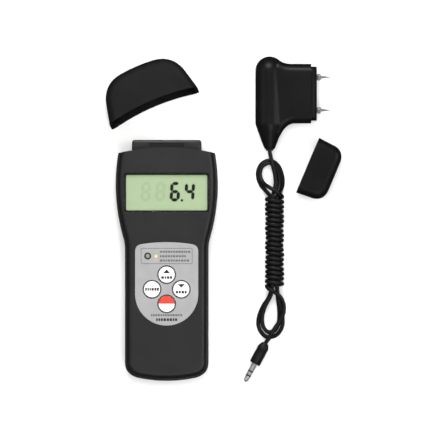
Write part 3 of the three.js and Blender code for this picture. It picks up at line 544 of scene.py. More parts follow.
def rod(radius, low, high, x, y):
    return turned("tool", [(radius, low), (radius, high)], "Z", (x, y, 0), 48)


def boxMm(node):
    low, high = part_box(node)
    return Vector(low) / mm, Vector(high) / mm


def centreMm(node):
    low, high = boxMm(node)
    return (low + high) / 2


# ---- the lead, one cord from the probe to the plug
lead = {
    "diameter": 2.8,
    "windAxis": 74,
    "windTop": 43.4,
    "pitch": 3.3,
    "turns": 18.5,
    "windRadius": 5.5,
    "slack": 0.3,  # how much the winding narrows in the middle
    "core": 1.45,
    "pointsPerTurn": 24,
}
# the free stretches, as in the CAD model, in metres
leadTail = [
    (0.0706, 0.082, 0.0098),
    (0.0706, 0.0754, 0.0098),
    (0.0723, 0.0667, 0.0092),
    (0.0742, 0.059, 0.0081),
    (0.0747, 0.0523, 0.0077),
    (0.0732, 0.046, 0.0086),
]
leadFootLoop1 = [
    (0.0714, -0.024, 0.008),
    (0.0682, -0.03, 0.0064),
    (0.0656, -0.038, 0.0042),
    (0.0661, -0.0454, 0.0026),
    (0.0698, -0.0496, 0.0015),
    (0.0744, -0.048, 0.00145),
    (0.077, -0.042, 0.00145),
    (0.0772, -0.034, 0.002),
    (0.0762, -0.025, 0.0044),
]
leadTopLoop1 = [
    (0.0774, 0.0462, 0.0032),
    (0.0796, 0.052, 0.00145),
    (0.0792, 0.059, 0.00145),
    (0.0758, 0.066, 0.00145),
    (0.07, 0.0686, 0.00145),
    (0.0644, 0.0656, 0.00145),
    (0.0624, 0.0586, 0.00145),
    (0.0648, 0.0515, 0.0019),
    (0.0693, 0.0464, 0.0042),
]
leadFootLoop2 = [
    (0.0706, -0.0245, 0.0046),
    (0.0662, -0.0315, 0.0024),
    (0.0632, -0.039, 0.00145),
    (0.0632, -0.0464, 0.00145),
    (0.068, -0.0526, 0.00145),
    (0.0746, -0.052, 0.0016),
    (0.079, -0.0464, 0.003),
    (0.0796, -0.0394, 0.0044),
    (0.0778, -0.0305, 0.0062),
    (0.0763, -0.0245, 0.008),
]
leadTopLoop2 = [
    (0.0764, 0.0468, 0.0066),
    (0.0776, 0.052, 0.0046),
    (0.077, 0.0586, 0.0038),
    (0.0744, 0.0648, 0.0039),
    (0.07, 0.0671, 0.004),
    (0.0654, 0.0644, 0.0039),
    (0.0639, 0.0584, 0.004),
    (0.0664, 0.053, 0.0064),
    (0.0706, 0.05, 0.0106),
    (0.075, 0.0474, 0.0122),
]
leadEnd = [
    (0.07, -0.0196, 0.0108),
    (0.0742, -0.022, 0.0119),
    (0.0782, -0.0254, 0.01),
    (0.0804, -0.0306, 0.0082),
    (0.0802, -0.0362, 0.0076),
    (0.0776, -0.0416, 0.0074),
    (0.0738, -0.0472, 0.0064),
    (0.0709, -0.0524, 0.0051),
]
plugPlace = {"shoulder": (60.3, -71.1), "turn": -28, "height": 3.85, "length": 16}


def windCentre(share, s):
    # the winding's radius and height at a share of its length; it is a little slack in the middle
    radius = s["windRadius"] - s["slack"] * math.sin(math.pi * max(0.0, min(1.0, share)))
    return radius, radius + s["diameter"] / 2 + 0.05


def corePass(side, level, downwards, s):
    # one straight pass of the cord inside the winding
    top = s["windTop"] - 2.5
    foot = s["windTop"] - s["turns"] * s["pitch"] + 2.5
    points = []
    for k in range(9):
        share = k / 8
        y = top + (foot - top) * share
        points.append(
            (
                (s["windAxis"] + side * s["core"]) * mm,
                y * mm,
                (windCentre(share, s)[1] + level * s["core"]) * mm,
            )
        )
    return points if downwards else points[::-1]


def winding(s):
    count = int(s["turns"] * s["pointsPerTurn"])
    points = []
    for k in range(count + 1):
        turn = s["turns"] * k / count
        share = k / count
        radius, height = windCentre(share, s)
        a = -2 * math.pi * turn
        sway = 0.28 * math.sin(turn * 1.7) * math.sin(math.pi * share)
        y = s["windTop"] - s["pitch"] * turn + 0.12 * math.sin(turn * 2.3 + 1)
        points.append(
            (
                (s["windAxis"] + sway + radius * math.cos(a)) * mm,
                y * mm,
                (height + radius * math.sin(a)) * mm,
            )
        )
    return points


def plugPoint(d):
    t = math.radians(plugPlace["turn"])
    x, y = plugPlace["shoulder"]
    return ((x + math.sin(t) * d) * mm, (y - math.cos(t) * d) * mm, plugPlace["height"] * mm)


def smoothRoute(points, spacing):
    # centripetal Catmull-Rom through the points, evenly spaced
    pts = [Vector(p) for p in points]
    pts = [pts[0] * 2 - pts[1]] + pts + [pts[-1] * 2 - pts[-2]]
    dense = []
    for p0, p1, p2, p3 in zip(pts, pts[1:], pts[2:], pts[3:]):
        t0 = 0.0
        t1 = t0 + max((p1 - p0).length, 1e-7) ** 0.5
        t2 = t1 + max((p2 - p1).length, 1e-7) ** 0.5
        t3 = t2 + max((p3 - p2).length, 1e-7) ** 0.5
        for k in range(12):
            t = t1 + (t2 - t1) * k / 12
            a1 = p0 * ((t1 - t) / (t1 - t0)) + p1 * ((t - t0) / (t1 - t0))
            a2 = p1 * ((t2 - t) / (t2 - t1)) + p2 * ((t - t1) / (t2 - t1))
            a3 = p2 * ((t3 - t) / (t3 - t2)) + p3 * ((t - t2) / (t3 - t2))
            b1 = a1 * ((t2 - t) / (t2 - t0)) + a2 * ((t - t0) / (t2 - t0))
            b2 = a2 * ((t3 - t) / (t3 - t1)) + a3 * ((t - t1) / (t3 - t1))
            dense.append(b1 * ((t2 - t) / (t2 - t1)) + b2 * ((t - t1) / (t2 - t1)))
    dense.append(pts[-2])
    return evenlySpaced(dense, spacing)


def evenlySpaced(points, spacing):
    total = sum((b - a).length for a, b in zip(points, points[1:]))
    count = max(2, round(total / spacing))
    step = total / count
    spaced = [points[0]]
    travelled = 0.0
    for a, b in zip(points, points[1:]):
        span = (b - a).length
        while len(spaced) < count and travelled + span >= step * len(spaced) - 1e-12:
            spaced.append(a.lerp(b, (step * len(spaced) - travelled) / max(span, 1e-12)))
        travelled += span
    spaced.append(points[-1])
    return spaced


def relaxed(points, rounds):
    # takes the kinks out of a route without moving its ends
    for _ in range(rounds):
        points = (
            points[:1]
            + [a * 0.25 + b * 0.5 + c * 0.25 for a, b, c in zip(points, points[1:], points[2:])]
            + points[-1:]
        )
    return points


def makeLead(s):
    route = [
        *leadTail,
        *corePass(-1, 1, True, s),
        *leadFootLoop1,
        *corePass(1, -1, False, s),
        *leadTopLoop1,
        *corePass(-1, -1, True, s),
        *leadFootLoop2,
        *corePass(1, 1, False, s),
        *leadTopLoop2,
        *winding(s),
        *leadEnd,
        plugPoint(-plugPlace["length"]),
        plugPoint(-plugPlace["length"] + 6),
    ]
    points = relaxed(smoothRoute(route, 0.9 * mm), 4)
    lowest = (s["diameter"] / 2 + 0.02) * mm
    for p in points:
        p.z = max(p.z, lowest)
    curve = bpy.data.curves.new("lead", "CURVE")
    curve.dimensions = "3D"
    curve.bevel_depth = s["diameter"] / 2 * mm
    curve.bevel_resolution = 5
    curve.use_fill_caps = True
    spline = curve.splines.new("POLY")
    spline.points.add(len(points) - 1)
    for target, p in zip(spline.points, points):
        target.co = (*p, 1)
    spline.use_smooth = True
    piece = bpy.data.objects.new("lead", curve)
    bpy.context.collection.objects.link(piece)
    curve.materials.append(cordPvc)
    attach(piece, "probe")
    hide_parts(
        "lead_tail",
        "lead_foot_loop_1",
        "lead_top_loop_1",
        "lead_foot_loop_2",
        "lead_top_loop_2",
        "lead_end",
        "lead_wrap",
    )
    return piece, sum((b - a).length for a, b in zip(points, points[1:]))


leadPiece, leadLength = makeLead(lead)
print("lead ready, metres:", round(leadLength, 3))


# ---- the plug, along its own axis, then laid in its place
plug = {
    "bodyRadius": 3.8,
    "jackRadius": 1.75,
    "jackLength": 14,
    "band": 1,
    "sleeveEnd": 5.4,
    "ringLength": 2.3,
    "core": 0.72,  # the insulator's radius inside the metal
    "gripRings": 3,
}


def layPlug(piece):
    t = math.radians(plugPlace["turn"])
    x, y = plugPlace["shoulder"]
    along = Matrix.Rotation(math.pi + t, 4, "Z") @ Matrix.Rotation(-math.pi / 2, 4, "X")
    piece.data.transform(Matrix.Translation(Vector((x, y, plugPlace["height"])) * mm) @ along)
    return smoothed(piece, 28)


def makePlug(s):
    r, j, core, length = s["bodyRadius"], s["jackRadius"], s["core"], plugPlace["length"]
    bore = lead["diameter"] / 2 + 0.08
    ringsAt = [-length + 4.6 + 1.1 * k for k in range(s["gripRings"])]
    outer = [
        (bore + 0.35, -length),
        (bore + 0.75, -length + 0.15),
        (r - 0.5, -length + 2.4),
        (r, -length + 3.4),
    ]
    for y in ringsAt:  # shallow grip rings
        outer += [(r, y), (r - 0.22, y + 0.15), (r - 0.22, y + 0.4), (r, y + 0.55)]
    outer += [(r, -0.6), (r - 0.15, -0.2), (r - 0.5, 0), (j - 0.3, 0), (j - 0.3, -7), (bore, -7.2)]
    body = layPlug(turned("plugBody", outer + [(bore, -length)], ringed=True, sides=72))
    sleeveEnd, band = s["sleeveEnd"], s["band"]
    ringEnd = sleeveEnd + band + s["ringLength"]
    tipStart = ringEnd + band
    parts = []
    for name, y0, y1 in (("plugSleeve", 0.1, sleeveEnd), ("plugRing", sleeveEnd + band, ringEnd)):
        profile = [(0.9, y0), (j, y0), (j, y1 - 0.08), (j - 0.08, y1), (0.9, y1)]
        parts.append((layPlug(turned(name, profile, ringed=True)), plugNickel, "steel"))
    tip = [(0.7, tipStart + 0.05), (j, tipStart + 0.05), (j, tipStart + 0.9), (j - 0.42, tipStart + 1.7)]
    tip += [(j - 0.44, tipStart + 2.0), (j - 0.12, tipStart + 2.6), (j - 0.12, tipStart + 3.0)]
    end = s["jackLength"]
    tip += [(j - 0.5, end - 0.9), (0.75, end - 0.3), (0.35, end - 0.06), (0, end)]
    parts.append((layPlug(turned("plugTip", tip)), plugNickel, "steel"))
    bandRadius = j - 0.03
    inside = [(core, -5.9), (core, sleeveEnd + 0.05), (bandRadius, sleeveEnd + 0.05)]
    inside += [(bandRadius, sleeveEnd + band - 0.05), (core, sleeveEnd + band - 0.05)]
    inside += [(core, ringEnd + 0.05), (bandRadius, ringEnd + 0.05), (bandRadius, tipStart)]
    parts.append((layPlug(turned("plugInsulators", inside)), chipEpoxy, "chip"))
    dress(body, cordPvc, "probe", "rubber", "plug_body")
    nodes = ["plug_sleeve", "plug_ring", "plug_tip", "plug_insulator"]
    for (piece, material, slotName), node in zip(parts, nodes):
        dress(piece, material, "probe", slotName, node)
    return [body] + [piece for piece, _, _ in parts]


plugPieces = makePlug(plug)
print("plug ready")


# ---- the meter's case
caseLow, caseHigh = boxMm("front_housing")
case = {
    "top": boxMm("neck_block")[1].y,
    "foot": caseLow.y,
    "thickness": caseHigh.z,
    "shoulder": caseHigh.y,
    "headHalf": 35,
    "bulgeRadius": 128,
    "bulgeFromTop": 30.5,
    "handleHalf": 28.6,
    "bowRadius": 96,
    "bottomCorner": 12.6,
    "shoulderRadius": 150,
    "edgeRound": 1.3,
    "faceStep": 1.5,
    "faceRound": 3.2,
    "faceRise": 5.5,
    "wall": 2.2,
    "frontWall": 2.6,
}


def caseOutline(s):
    bulgeY = s["top"] - s["bulgeFromTop"]
    half, radius = s["handleHalf"], s["bulgeRadius"]
    middle = s["headHalf"] - radius
    waistY = bulgeY - math.sqrt(radius**2 - (half - middle) ** 2)

    def bow(x):
        return s["foot"] + s["bowRadius"] - math.sqrt(s["bowRadius"] ** 2 - x * x)

    cornerX = half - 9
    points = [(cornerX * k / 12, bow(cornerX * k / 12)) for k in range(13)]
    points += bezierPoints([points[-1], (half, bow(half)), (half, s["foot"] + s["bottomCorner"])], 20)
    # the waist is eased over a short curve instead of a corner
    ease = 5
    rise = waistY + ease
    riseX = middle + math.sqrt(radius**2 - (rise - bulgeY) ** 2)
    points += bezierPoints([(half, waistY - ease), (half, waistY), (riseX, rise)], 8)
    start = math.asin((rise - bulgeY) / radius)
    end = math.asin((s["top"] + 1 - bulgeY) / radius)
    points += arcPoints(middle, bulgeY, radius, start, end, 40)[1:]
    return mirrored(points)


def aboveShoulder(s, inset=0.0):
    # a tool that takes away everything past the shoulder's curve
    reach = 60
    radius = s["shoulderRadius"]
    arc = [(x, s["shoulder"] - inset - radius + math.sqrt(radius**2 - x * x)) for x in range(-48, 49, 2)]
    outline = arc + [
        (reach, arc[-1][1]), (reach, s["top"] + 40), (-reach, s["top"] + 40), (-reach, arc[0][1])
    ]
    return slab("tool", outline, [(-30, 0), (60, 0)])


outline = caseOutline(case)
depth = case["thickness"]
seam = depth / 2
flangeTop = depth - case["faceRise"] - 0.7
neckLow, neckHigh = boxMm("neck_block")
neck = {"half": 23.8, "low": depth / 2 - 8.6, "high": depth / 2 + 8.6, "gap": 0.12, "root": neckLow.y}
keyNodes = ["key_up", "key_select", "key_down", "key_power"]
keyCentres = {node: centreMm(node) for node in keyNodes}
padCentre = sum(keyCentres.values(), Vector()) / len(keyNodes)
keySize = {"radius": 5.5, "hole": 6.02, "edge": 0.4, "lampHole": 2.0}
lampCentre = centreMm("status_lamp")
displayCentre = centreMm("display_window")
display = {"half": 28.3, "height": 25.3, "ledge": 0.7, "corner": 1.2}
label = {
    "half": 21.65,
    "rise": 32.4,
    "sag": 1.45,
    "corner": 4.8,
    "crown": 1.2,
    "foot": 3.2,
    "thickness": 0.5,
}


def labelOutline(s, grow=0.0):
    half = s["half"]
    high = padCentre.y + s["rise"]
    low = padCentre.y - s["foot"]
    cornerY = high - s["sag"] - 0.55
    shoulder = (half - s["corner"], high - s["sag"])
    points = arcPoints(0, low, half, -math.pi / 2, 0, 32)
    points += bezierPoints([(half, cornerY - s["corner"]), (half, cornerY), shoulder], 10)
    crown = [shoulder, (0, high + s["crown"]), (-shoulder[0], shoulder[1])]
    points += bezierPoints(crown, 24)[:12]
    return insetOutline(mirrored(points), -grow)


def displayOutline(grow):
    x, y = display["half"] + grow, display["height"] / 2 + grow
    return roundRect(
        -x, displayCentre.y - y, x, displayCentre.y + y, display["corner"] + max(grow, 0) * 0.6
    )


def neckHole():
    reach = neck["half"] + neck["gap"]
    low, high = neck["low"] - neck["gap"], neck["high"] + neck["gap"]
    return softBox("tool", (-reach, neck["root"] - 3, low), (reach, case["top"] + 9, high), 0.9)


def makeFront(s):
    stations = [(seam + 0.06, 0.25), (seam + 0.3, 0)]
    stations += edgeStations(seam, flangeTop, s["edgeRound"], steps=6, both=False)[1:-1]
    faceFoot = depth - s["faceRise"]
    stations += [
        (flangeTop, s["faceStep"] - 0.1),
        (flangeTop + 0.08, s["faceStep"]),
        (faceFoot, s["faceStep"]),
    ]
    stations += edgeStations(0, depth, s["faceRound"], s["faceRise"], s["faceStep"], 10, False)[2:]
    piece = slab("frontShell", outline, stations)
    inFront = depth - s["frontWall"]
    cavity = slab("tool", outline, [(seam - 5, s["wall"]), (flangeTop - 1, s["wall"])])
    cavityHigh = slab(
        "tool",
        outline,
        [(seam - 5, s["faceStep"] + s["wall"] + 0.4), (inFront, s["faceStep"] + s["wall"] + 0.4)],
    )
    carve(cavity, [aboveShoulder(s, s["wall"])])
    carve(cavityHigh, [aboveShoulder(s, s["wall"])])
    tools = [cavity, cavityHigh, aboveShoulder(s), neckHole()]
    tools.append(slab("tool", displayOutline(display["ledge"]), [(depth - 1.95, 0), (depth + 5, 0)]))
    tools.append(slab("tool", displayOutline(0), [(seam, 0), (depth + 5, 0)]))
    # a small chamfer round the display's edge catches the light
    rim = [(depth - 0.35, 0), (depth + 0.05, -0.4), (depth + 3, -0.4)]
    tools.append(slab("tool", displayOutline(display["ledge"]), rim))
    tools.append(
        slab(
            "tool",
            labelOutline(label, 0.32),
            [(depth - label["thickness"] - 0.15, 0), (depth + 5, 0)],
        )
    )
    tools += [rod(keySize["hole"], seam, depth + 5, c.x, c.y) for c in keyCentres.values()]
    tools.append(rod(keySize["lampHole"], seam, depth + 5, lampCentre.x, lampCentre.y))
    carve(piece, tools)
    return dress(smoothed(piece), caseAbs, "meter", "casing", "front_housing")


doorLow, doorHigh = boxMm("battery_door")
sensorLow, sensorHigh = boxMm("search_sensor")
bay = {
    "foot": -73.5,
    "top": boxMm("contact_strip_top")[1].y + 0.1,
    "half": 21.6,
    "roof": 13.0,
    "doorRoof": 2.1,
}
door = {
    "gap": 0.18,
    "tongue": 1.4,  # how far its edges reach into the case's grooves
    "tongueFoot": 0.7,
    "grooves": 5,
    "groovePitch": 2.1,
    "grooveFrom": 11,
    "grooveHalf": 8,
}
screwNodes = [f"case_screw_{k}" for k in (1, 2, 3, 4)]


def makeRear(s):
    piece = slab("rearShell", outline, edgeStations(0, 2 * seam, s["edgeRound"] + 0.2, steps=7)[:9] + [
        (seam - 0.3, 0),
        (seam - 0.06, 0.25),
    ])
    block = [
        cutBox(
            (-bay["half"] - 1, bay["foot"] - 1, 1),
            (bay["half"] + 1, bay["top"] + 1, bay["roof"] - 0.5),
        ),
        cutBox((-26.2, s["foot"] + 3, 1), (26.2, doorHigh.y + 2, bay["doorRoof"] + 1.4)),
        cutBox(
            (sensorLow.x - 2, sensorLow.y - 2, 1),
            (sensorHigh.x + 2, sensorHigh.y + 2, s["wall"] + 1.4),
        ),
    ]
    cavity = slab("tool", outline, [(s["wall"], s["wall"]), (seam + 4, s["wall"])])
    carve(cavity, [aboveShoulder(s, s["wall"])])
    for node in screwNodes:
        c = centreMm(node)
        block.append(rod(3.4, 1, seam - 0.2, c.x, c.y))
    carve(cavity, block)
    gap, tongue = door["gap"], door["tongue"]
    tools = [cavity, aboveShoulder(s), neckHole()]
    tools.append(
        cutBox(
            (-bay["half"], bay["foot"], -1), (bay["half"], bay["top"], bay["roof"] - 1.6)
        )
    )
    tools.append(
        cutBox(
            (doorLow.x + 1 - gap, s["foot"] - 5, -1),
            (doorHigh.x - 1 + gap, doorHigh.y + gap, bay["doorRoof"]),
        )
    )
    tools.append(
        cutBox(
            (doorLow.x - tongue + 1, s["foot"] - 5, door["tongueFoot"]),
            (doorHigh.x + tongue - 1, doorHigh.y + 0.4, bay["doorRoof"]),
        )
    )
    sensorEdge = roundRect(
        sensorLow.x - 0.2, sensorLow.y - 0.2, sensorHigh.x + 0.2, sensorHigh.y + 0.2, 4.2
    )
    tools.append(slab("tool", sensorEdge, [(-1, 0), (1.4, 0)]))
    for node in screwNodes:
        c = centreMm(node)
        tools.append(
            turned(
                "tool",
                [(2.9, -1), (2.5, 0.4), (2.5, 3.2), (1.4, 3.2), (1.4, seam + 9)],
                "Z",
                (c.x, c.y, 0),
                48,
            )
        )
    carve(piece, tools)
    return dress(smoothed(piece), caseAbs, "meter", "casing", "rear_housing")


def makeDoor(s):
    half = doorHigh.x - 1
    blank = softBox("batteryDoor", (-half, s["foot"] - 6, 0.02), (half, doorHigh.y, doorHigh.z), 0.25, 2)
    carve(
        blank,
        [
            cutBox(
                (-half - 1, s["foot"] - 5, 0.95),
                (half + 1, doorHigh.y - 0.3, doorHigh.z - 0.05),
            )
        ],
        "UNION",
    )
    shell = slab(
        "tool",
        outline,
        edgeStations(0.02, 2 * seam, s["edgeRound"] + 0.2, steps=7)[:9] + [(seam, 0)],
    )
    carve(blank, [shell], "INTERSECT")
    tools = []
    for k in range(door["grooves"]):  # finger grooves, each shorter than the one before
        y = doorHigh.y - door["grooveFrom"] - door["groovePitch"] * k
        x = door["grooveHalf"] - k * 0.8
        tools.append(softBox("tool", (-x, y - 0.5, -1), (x, y + 0.5, 0.55), 0.35, 3))
    carve(blank, tools)
    return dress(smoothed(blank), caseAbs, "battery_door", "casing", "battery_door")


def makeSensor():
    edge = roundRect(sensorLow.x + 0.1, sensorLow.y + 0.1, sensorHigh.x - 0.1, sensorHigh.y - 0.1, 3.9)
    piece = slab("searchSensor", edge, edgeStations(sensorLow.z, sensorHigh.z, 0.25, steps=3))
    return dress(smoothed(piece), softRubber, "meter", "rubber", "search_sensor")


def makeCaseScrews():
    for node in screwNodes:
        low, high = boxMm(node)
        c = (low + high) / 2
        z = low.z
        profile = [(1.3, z + 0.02), (1.8, z + 0.12), (2.05, z + 0.45), (2.05, z + 1.2), (0.95, z + 1.5)]
        for k in range(9):  # the thread
            profile += [(0.7, z + 2.2 + 1.4 * k), (0.74, z + 2.9 + 1.4 * k), (0.98, z + 3.0 + 1.4 * k)]
        profile += [(0.3, high.z - 0.4), (0, high.z - 0.1)]
        piece = turned("caseScrew" + node[-1], profile, "Z", (c.x, c.y, 0), 32)
        cross = [
            softBox("tool", (c.x - 1.35, c.y - 0.28, z - 1), (c.x + 1.35, c.y + 0.28, z + 0.8), 0.1, 2),
            softBox("tool", (c.x - 0.28, c.y - 1.35, z - 1), (c.x + 0.28, c.y + 1.35, z + 0.8), 0.1, 2),
        ]
        carve(piece, cross)
        dress(smoothed(piece), needleSteel, "meter", "steel", node)


def makeNeck():
    half, top = neck["half"], case["top"]
    piece = softBox("neckBlock", (-half, neck["root"] + 1, neck["low"]), (half, top, neck["high"]), 1.7, 6)
    flange = cutBox(
        (-half - 1.4, neck["root"], neck["low"] - 0.9),
        (half + 1.4, neck["root"] + 1.6, neck["high"] + 0.9),
    )
    carve(piece, [flange], "UNION")
    tools = [
        cutBox(
            (-half + 2, neck["root"] - 5, neck["low"] + 2),
            (half - 2, top - 2, neck["high"] - 2),
        ),
        turned("tool", [(3.6, -20), (3.6, 0.6), (4.4, 1.4), (4.4, 5)], "Y", (0, top - 0.9, seam), 64),
    ]
    # a shallow sunk panel with two deeper grooves in it
    x, y, high = 12.2, top - 2.0, neck["high"]
    tools.append(slab("tool", roundRect(-x, y - 2.7, x, y, 0.4), [(high - 0.5, 0), (high + 1, -0.3)]))
    for groove in (y - 0.75, y - 2.0):
        tools.append(
            cutBox(
                (-x + 0.5, groove - 0.3, high - 1.1), (x - 0.5, groove + 0.3, high + 1)
            )
        )
    carve(piece, tools)
    dress(smoothed(piece), caseAbs, "meter", "casing", "neck_block")
    low, high = boxMm("jack_socket")
    outer = (high.x - low.x) / 2
    profile = [
        (1.8, low.y),
        (outer, low.y),
        (outer, high.y - 0.2),
        (outer - 0.2, high.y),
        (2.1, high.y),
        (1.8, high.y - 0.3),
    ]
    socket = turned("jackSocket", profile, "Y", (0, 0, seam), 64, True)
    dress(smoothed(socket), plugNickel, "meter", "steel", "jack_socket")


makeFront(case)
makeRear(case)
makeDoor(case)
makeSensor()
makeCaseScrews()
makeNeck()
print("case ready")


# ---- display
digits = {
    "height": 13.4,
    "width": 6.9,
    "stroke": 2.2,
    "pitch": 10,
    "lean": 0.06,
    "right": 15.7,  # the middle of the last digit
    "middle": 47.1,
    "shown": {2: "6", 3: "4"},
}
segments = {"6": "acdefg", "4": "bcfg", "8": "abcdefg"}


def segmentShapes(s):
    # each bar of a seven-bar digit, as a six-sided outline round its own middle
    w, h, t = s["width"] / 2, s["height"] / 2, s["stroke"] / 2
    gap = 0.12

    def bar(x0, y0, x1, y1):
        a, b = Vector((x0, y0)), Vector((x1, y1))
        u = (b - a).normalized()
        n = Vector((-u.y, u.x)) * t
        a, b = a + u * gap, b - u * gap
        return [a, a + u * t - n, b - u * t - n, b, b - u * t + n, a + u * t + n]

    x, y = w - t, h - t
    return {
        "a": bar(-x, y, x, y), "b": bar(x, 0, x, y), "c": bar(x, -y, x, 0), "d": bar(-x, -y, x, -y),
        "e": bar(-x, -y, -x, 0), "f": bar(-x, 0, -x, y), "g": bar(-x, 0, x, 0),
    }


def flatMarks(name, outlines, z, thickness, material, body, slotName):
    # printed or liquid-crystal marks: thin flat shapes joined in one mesh
    verts, faces = [], []
    for points in outlines:
        start, count = len(verts), len(points)
        area = sum(a[0] * b[1] - b[0] * a[1] for a, b in zip(points, points[1:] + points[:1]))
        points = points if area > 0 else points[::-1]
        verts += [(p[0], p[1], z) for p in points] + [(p[0], p[1], z + thickness) for p in points]
        faces.append(tuple(start + i for i in reversed(range(count))))
        faces.append(tuple(start + count + i for i in range(count)))
        for i in range(count):
            j = (i + 1) % count
            faces.append((start + i, start + j, start + count + j, start + count + i))
    piece = meshPiece(name, verts, faces)
    return dress(piece, material, body, slotName)


def makeDisplay(s):
    low, high = boxMm("display_window")
    lens = slab("displayWindow", displayOutline(0.5), edgeStations(low.z, high.z, 0.3, steps=4))
    dress(smoothed(lens), windowAcrylic, "meter", "window", "display_window")
    low, high = boxMm("window_gasket")
    rings = [
        [(x, y, z) for x, y in displayOutline(grow)]
        for z, grow in ((low.z, 0.45), (high.z, 0.45), (high.z, -0.5), (low.z, -0.5))
    ]
    gasket = loft("windowGasket", rings, ringed=True)
    dress(smoothed(gasket), softRubber, "meter", "rubber", "window_gasket")
    low, high = boxMm("lcd_panel")
    edge = roundRect(low.x, low.y, high.x, high.y, 0.6, 3)
    panel = slab("lcdPanel", edge, edgeStations(low.z, high.z, 0.2, steps=2))
    dress(smoothed(panel), lcdGlass, "meter", "lcd", "lcd_panel")
    bars = segmentShapes(s)
    on, off = [], []
    for k in range(4):
        x = s["right"] - (3 - k) * s["pitch"]
        shown = segments.get(s["shown"].get(k, ""), "")
        for name, shape in bars.items():
            placed = [(x + p.x + s["lean"] * p.y, s["middle"] + p.y) for p in shape]
            if name in shown:
                on.append(placed)
            elif k < 2:
                off.append(placed)
    dotX = s["right"] - s["pitch"] * 0.5 - 0.25
    on.append(arcPoints(dotX, s["middle"] - s["height"] / 2 + 0.75, 0.85, 0, 2 * math.pi * 23 / 24, 23))
    flatMarks("lcdDigits", on, high.z + 0.01, 0.05, segmentInk, "meter", "chip")
    flatMarks("lcdRestingDigits", off, high.z + 0.01, 0.02, ghostInk, "meter", "lcd")


makeDisplay(digits)
print("display ready")


# ---- keypad
marks = {
    "ink": 0.03,
    "frame": (-17.66, -2.37, 17.66, 8.5),
    "frameLine": 0.36,
    "rows": (5.95, 2.93, -0.03),
    "rowWidths": (20.8, 17.8, 20.0),
    "rowBlocks": (12, 10, 11),
    "rowHeight": 1.35,
    "dotX": -7.3,
    "dotRadius": 0.95,
    "blocksFrom": -4.6,
    # width of the painted shade ring round each key's hole
    "keyShadeRing": 0.4,
    "sink": 0.004,  # how far a key's print lies in its face
}


def inkBlocks(x, y, width, height, count, seed):
    # a row of small blocks of uneven width, where a real label has words
    rng = random.Random(seed)
    sizes = [rng.uniform(0.7, 1.3) for _ in range(count)]
    unit = width / (sum(sizes) + 0.32 * (count - 1))
    shapes = []
    for size in sizes:
        shapes.append(roundRect(x, y - height / 2, x + size * unit, y + height / 2, 0.12, 2))
        x += (size + 0.32) * unit
    return shapes


def frameBars(x0, y0, x1, y1, line):
    # a thin rectangle's outline with round corners, as four bars and four corner arcs
    corner = 0.9
    shapes = [
        [(x0 + corner, y0), (x1 - corner, y0), (x1 - corner, y0 + line), (x0 + corner, y0 + line)],
        [(x0 + corner, y1 - line), (x1 - corner, y1 - line), (x1 - corner, y1), (x0 + corner, y1)],
        [(x0, y0 + corner), (x0 + line, y0 + corner), (x0 + line, y1 - corner), (x0, y1 - corner)],
        [(x1 - line, y0 + corner), (x1, y0 + corner), (x1, y1 - corner), (x1 - line, y1 - corner)],
    ]
    q = math.pi / 2
    for x, y, t in (
        (x1 - corner, y1 - corner, 0),
        (x0 + corner, y1 - corner, q),
        (x0 + corner, y0 + corner, 2 * q),
    ):
        shapes.append(arcPoints(x, y, corner, t, t + q, 6) + arcPoints(x, y, corner - line, t + q, t, 6))
    t = 3 * q
    x, y = x1 - corner, y0 + corner
    shapes.append(arcPoints(x, y, corner, t, t + q, 6) + arcPoints(x, y, corner - line, t + q, t, 6))
    return shapes


def makeLabel(s):
    low, high = boxMm("keypad_label")
    piece = slab("keypadLabel", labelOutline(s), edgeStations(low.z, high.z, 0.08, steps=2))
    tools = [rod(keySize["hole"], seam, depth + 5, c.x, c.y) for c in keyCentres.values()]
    tools.append(rod(keySize["lampHole"], seam, depth + 5, lampCentre.x, lampCentre.y))
    carve(piece, tools)
    dress(smoothed(piece), silverPrint, "meter", "label", "keypad_label")
    z, ink = high.z + 0.01, marks["ink"]
    flatMarks(
        "legendFrame",
        frameBars(*marks["frame"], marks["frameLine"]),
        z,
        ink,
        greyInk,
        "meter",
        "label",
    )
    words = []
    rows = zip(marks["rows"], marks["rowWidths"], marks["rowBlocks"])
    for k, (y, width, count) in enumerate(rows):
        words += inkBlocks(marks["blocksFrom"], y, width, marks["rowHeight"], count, 20 + k)
    flatMarks("legendRows", words, z, ink, greyInk, "meter", "label")
    inks = (greenInk, yellowInk, redInkSoft)
    for name, y, dotInk in zip(("Dry", "Mid", "Wet"), marks["rows"], inks):
        dot = arcPoints(marks["dotX"], y, marks["dotRadius"], 0, 2 * math.pi * 27 / 28, 27)
        flatMarks("legendDot" + name, [dot], z, ink, dotInk, "meter", "label")
    thinRow = inkBlocks(-10.7, padCentre.y - 17.7, 21.4, 1.4, 13, 31)
    flatMarks("footRowThin", thinRow, z, ink, greyInk, "meter", "label")
    boldRow = inkBlocks(-7.2, padCentre.y - 20.8, 14.4, 1.8, 8, 32)
    flatMarks("footRowBold", boldRow, z, ink, darkInk, "meter", "label")
    # a dark ring painted round each key and round the lamp, just outside its hole: painted shade that
    # widens the shadow in the gap
    rings = []
    hole = keySize["hole"] + 0.02
    places = [(c, hole, hole + marks["keyShadeRing"]) for c in keyCentres.values()]
    for c, inner, outer in [*places, (lampCentre, 2.02, 2.4)]:
        steps = 48
        for k in range(steps):
            a, b = 2 * math.pi * k / steps, 2 * math.pi * (k + 1) / steps
            rings.append([
                (c.x + inner * math.cos(a), c.y + inner * math.sin(a)),
                (c.x + outer * math.cos(a), c.y + outer * math.sin(a)),
                (c.x + outer * math.cos(b), c.y + outer * math.sin(b)),
                (c.x + inner * math.cos(b), c.y + inner * math.sin(b)),
            ])
    flatMarks("paintedShadeRings", rings, z, ink, darkInk, "meter", "label")


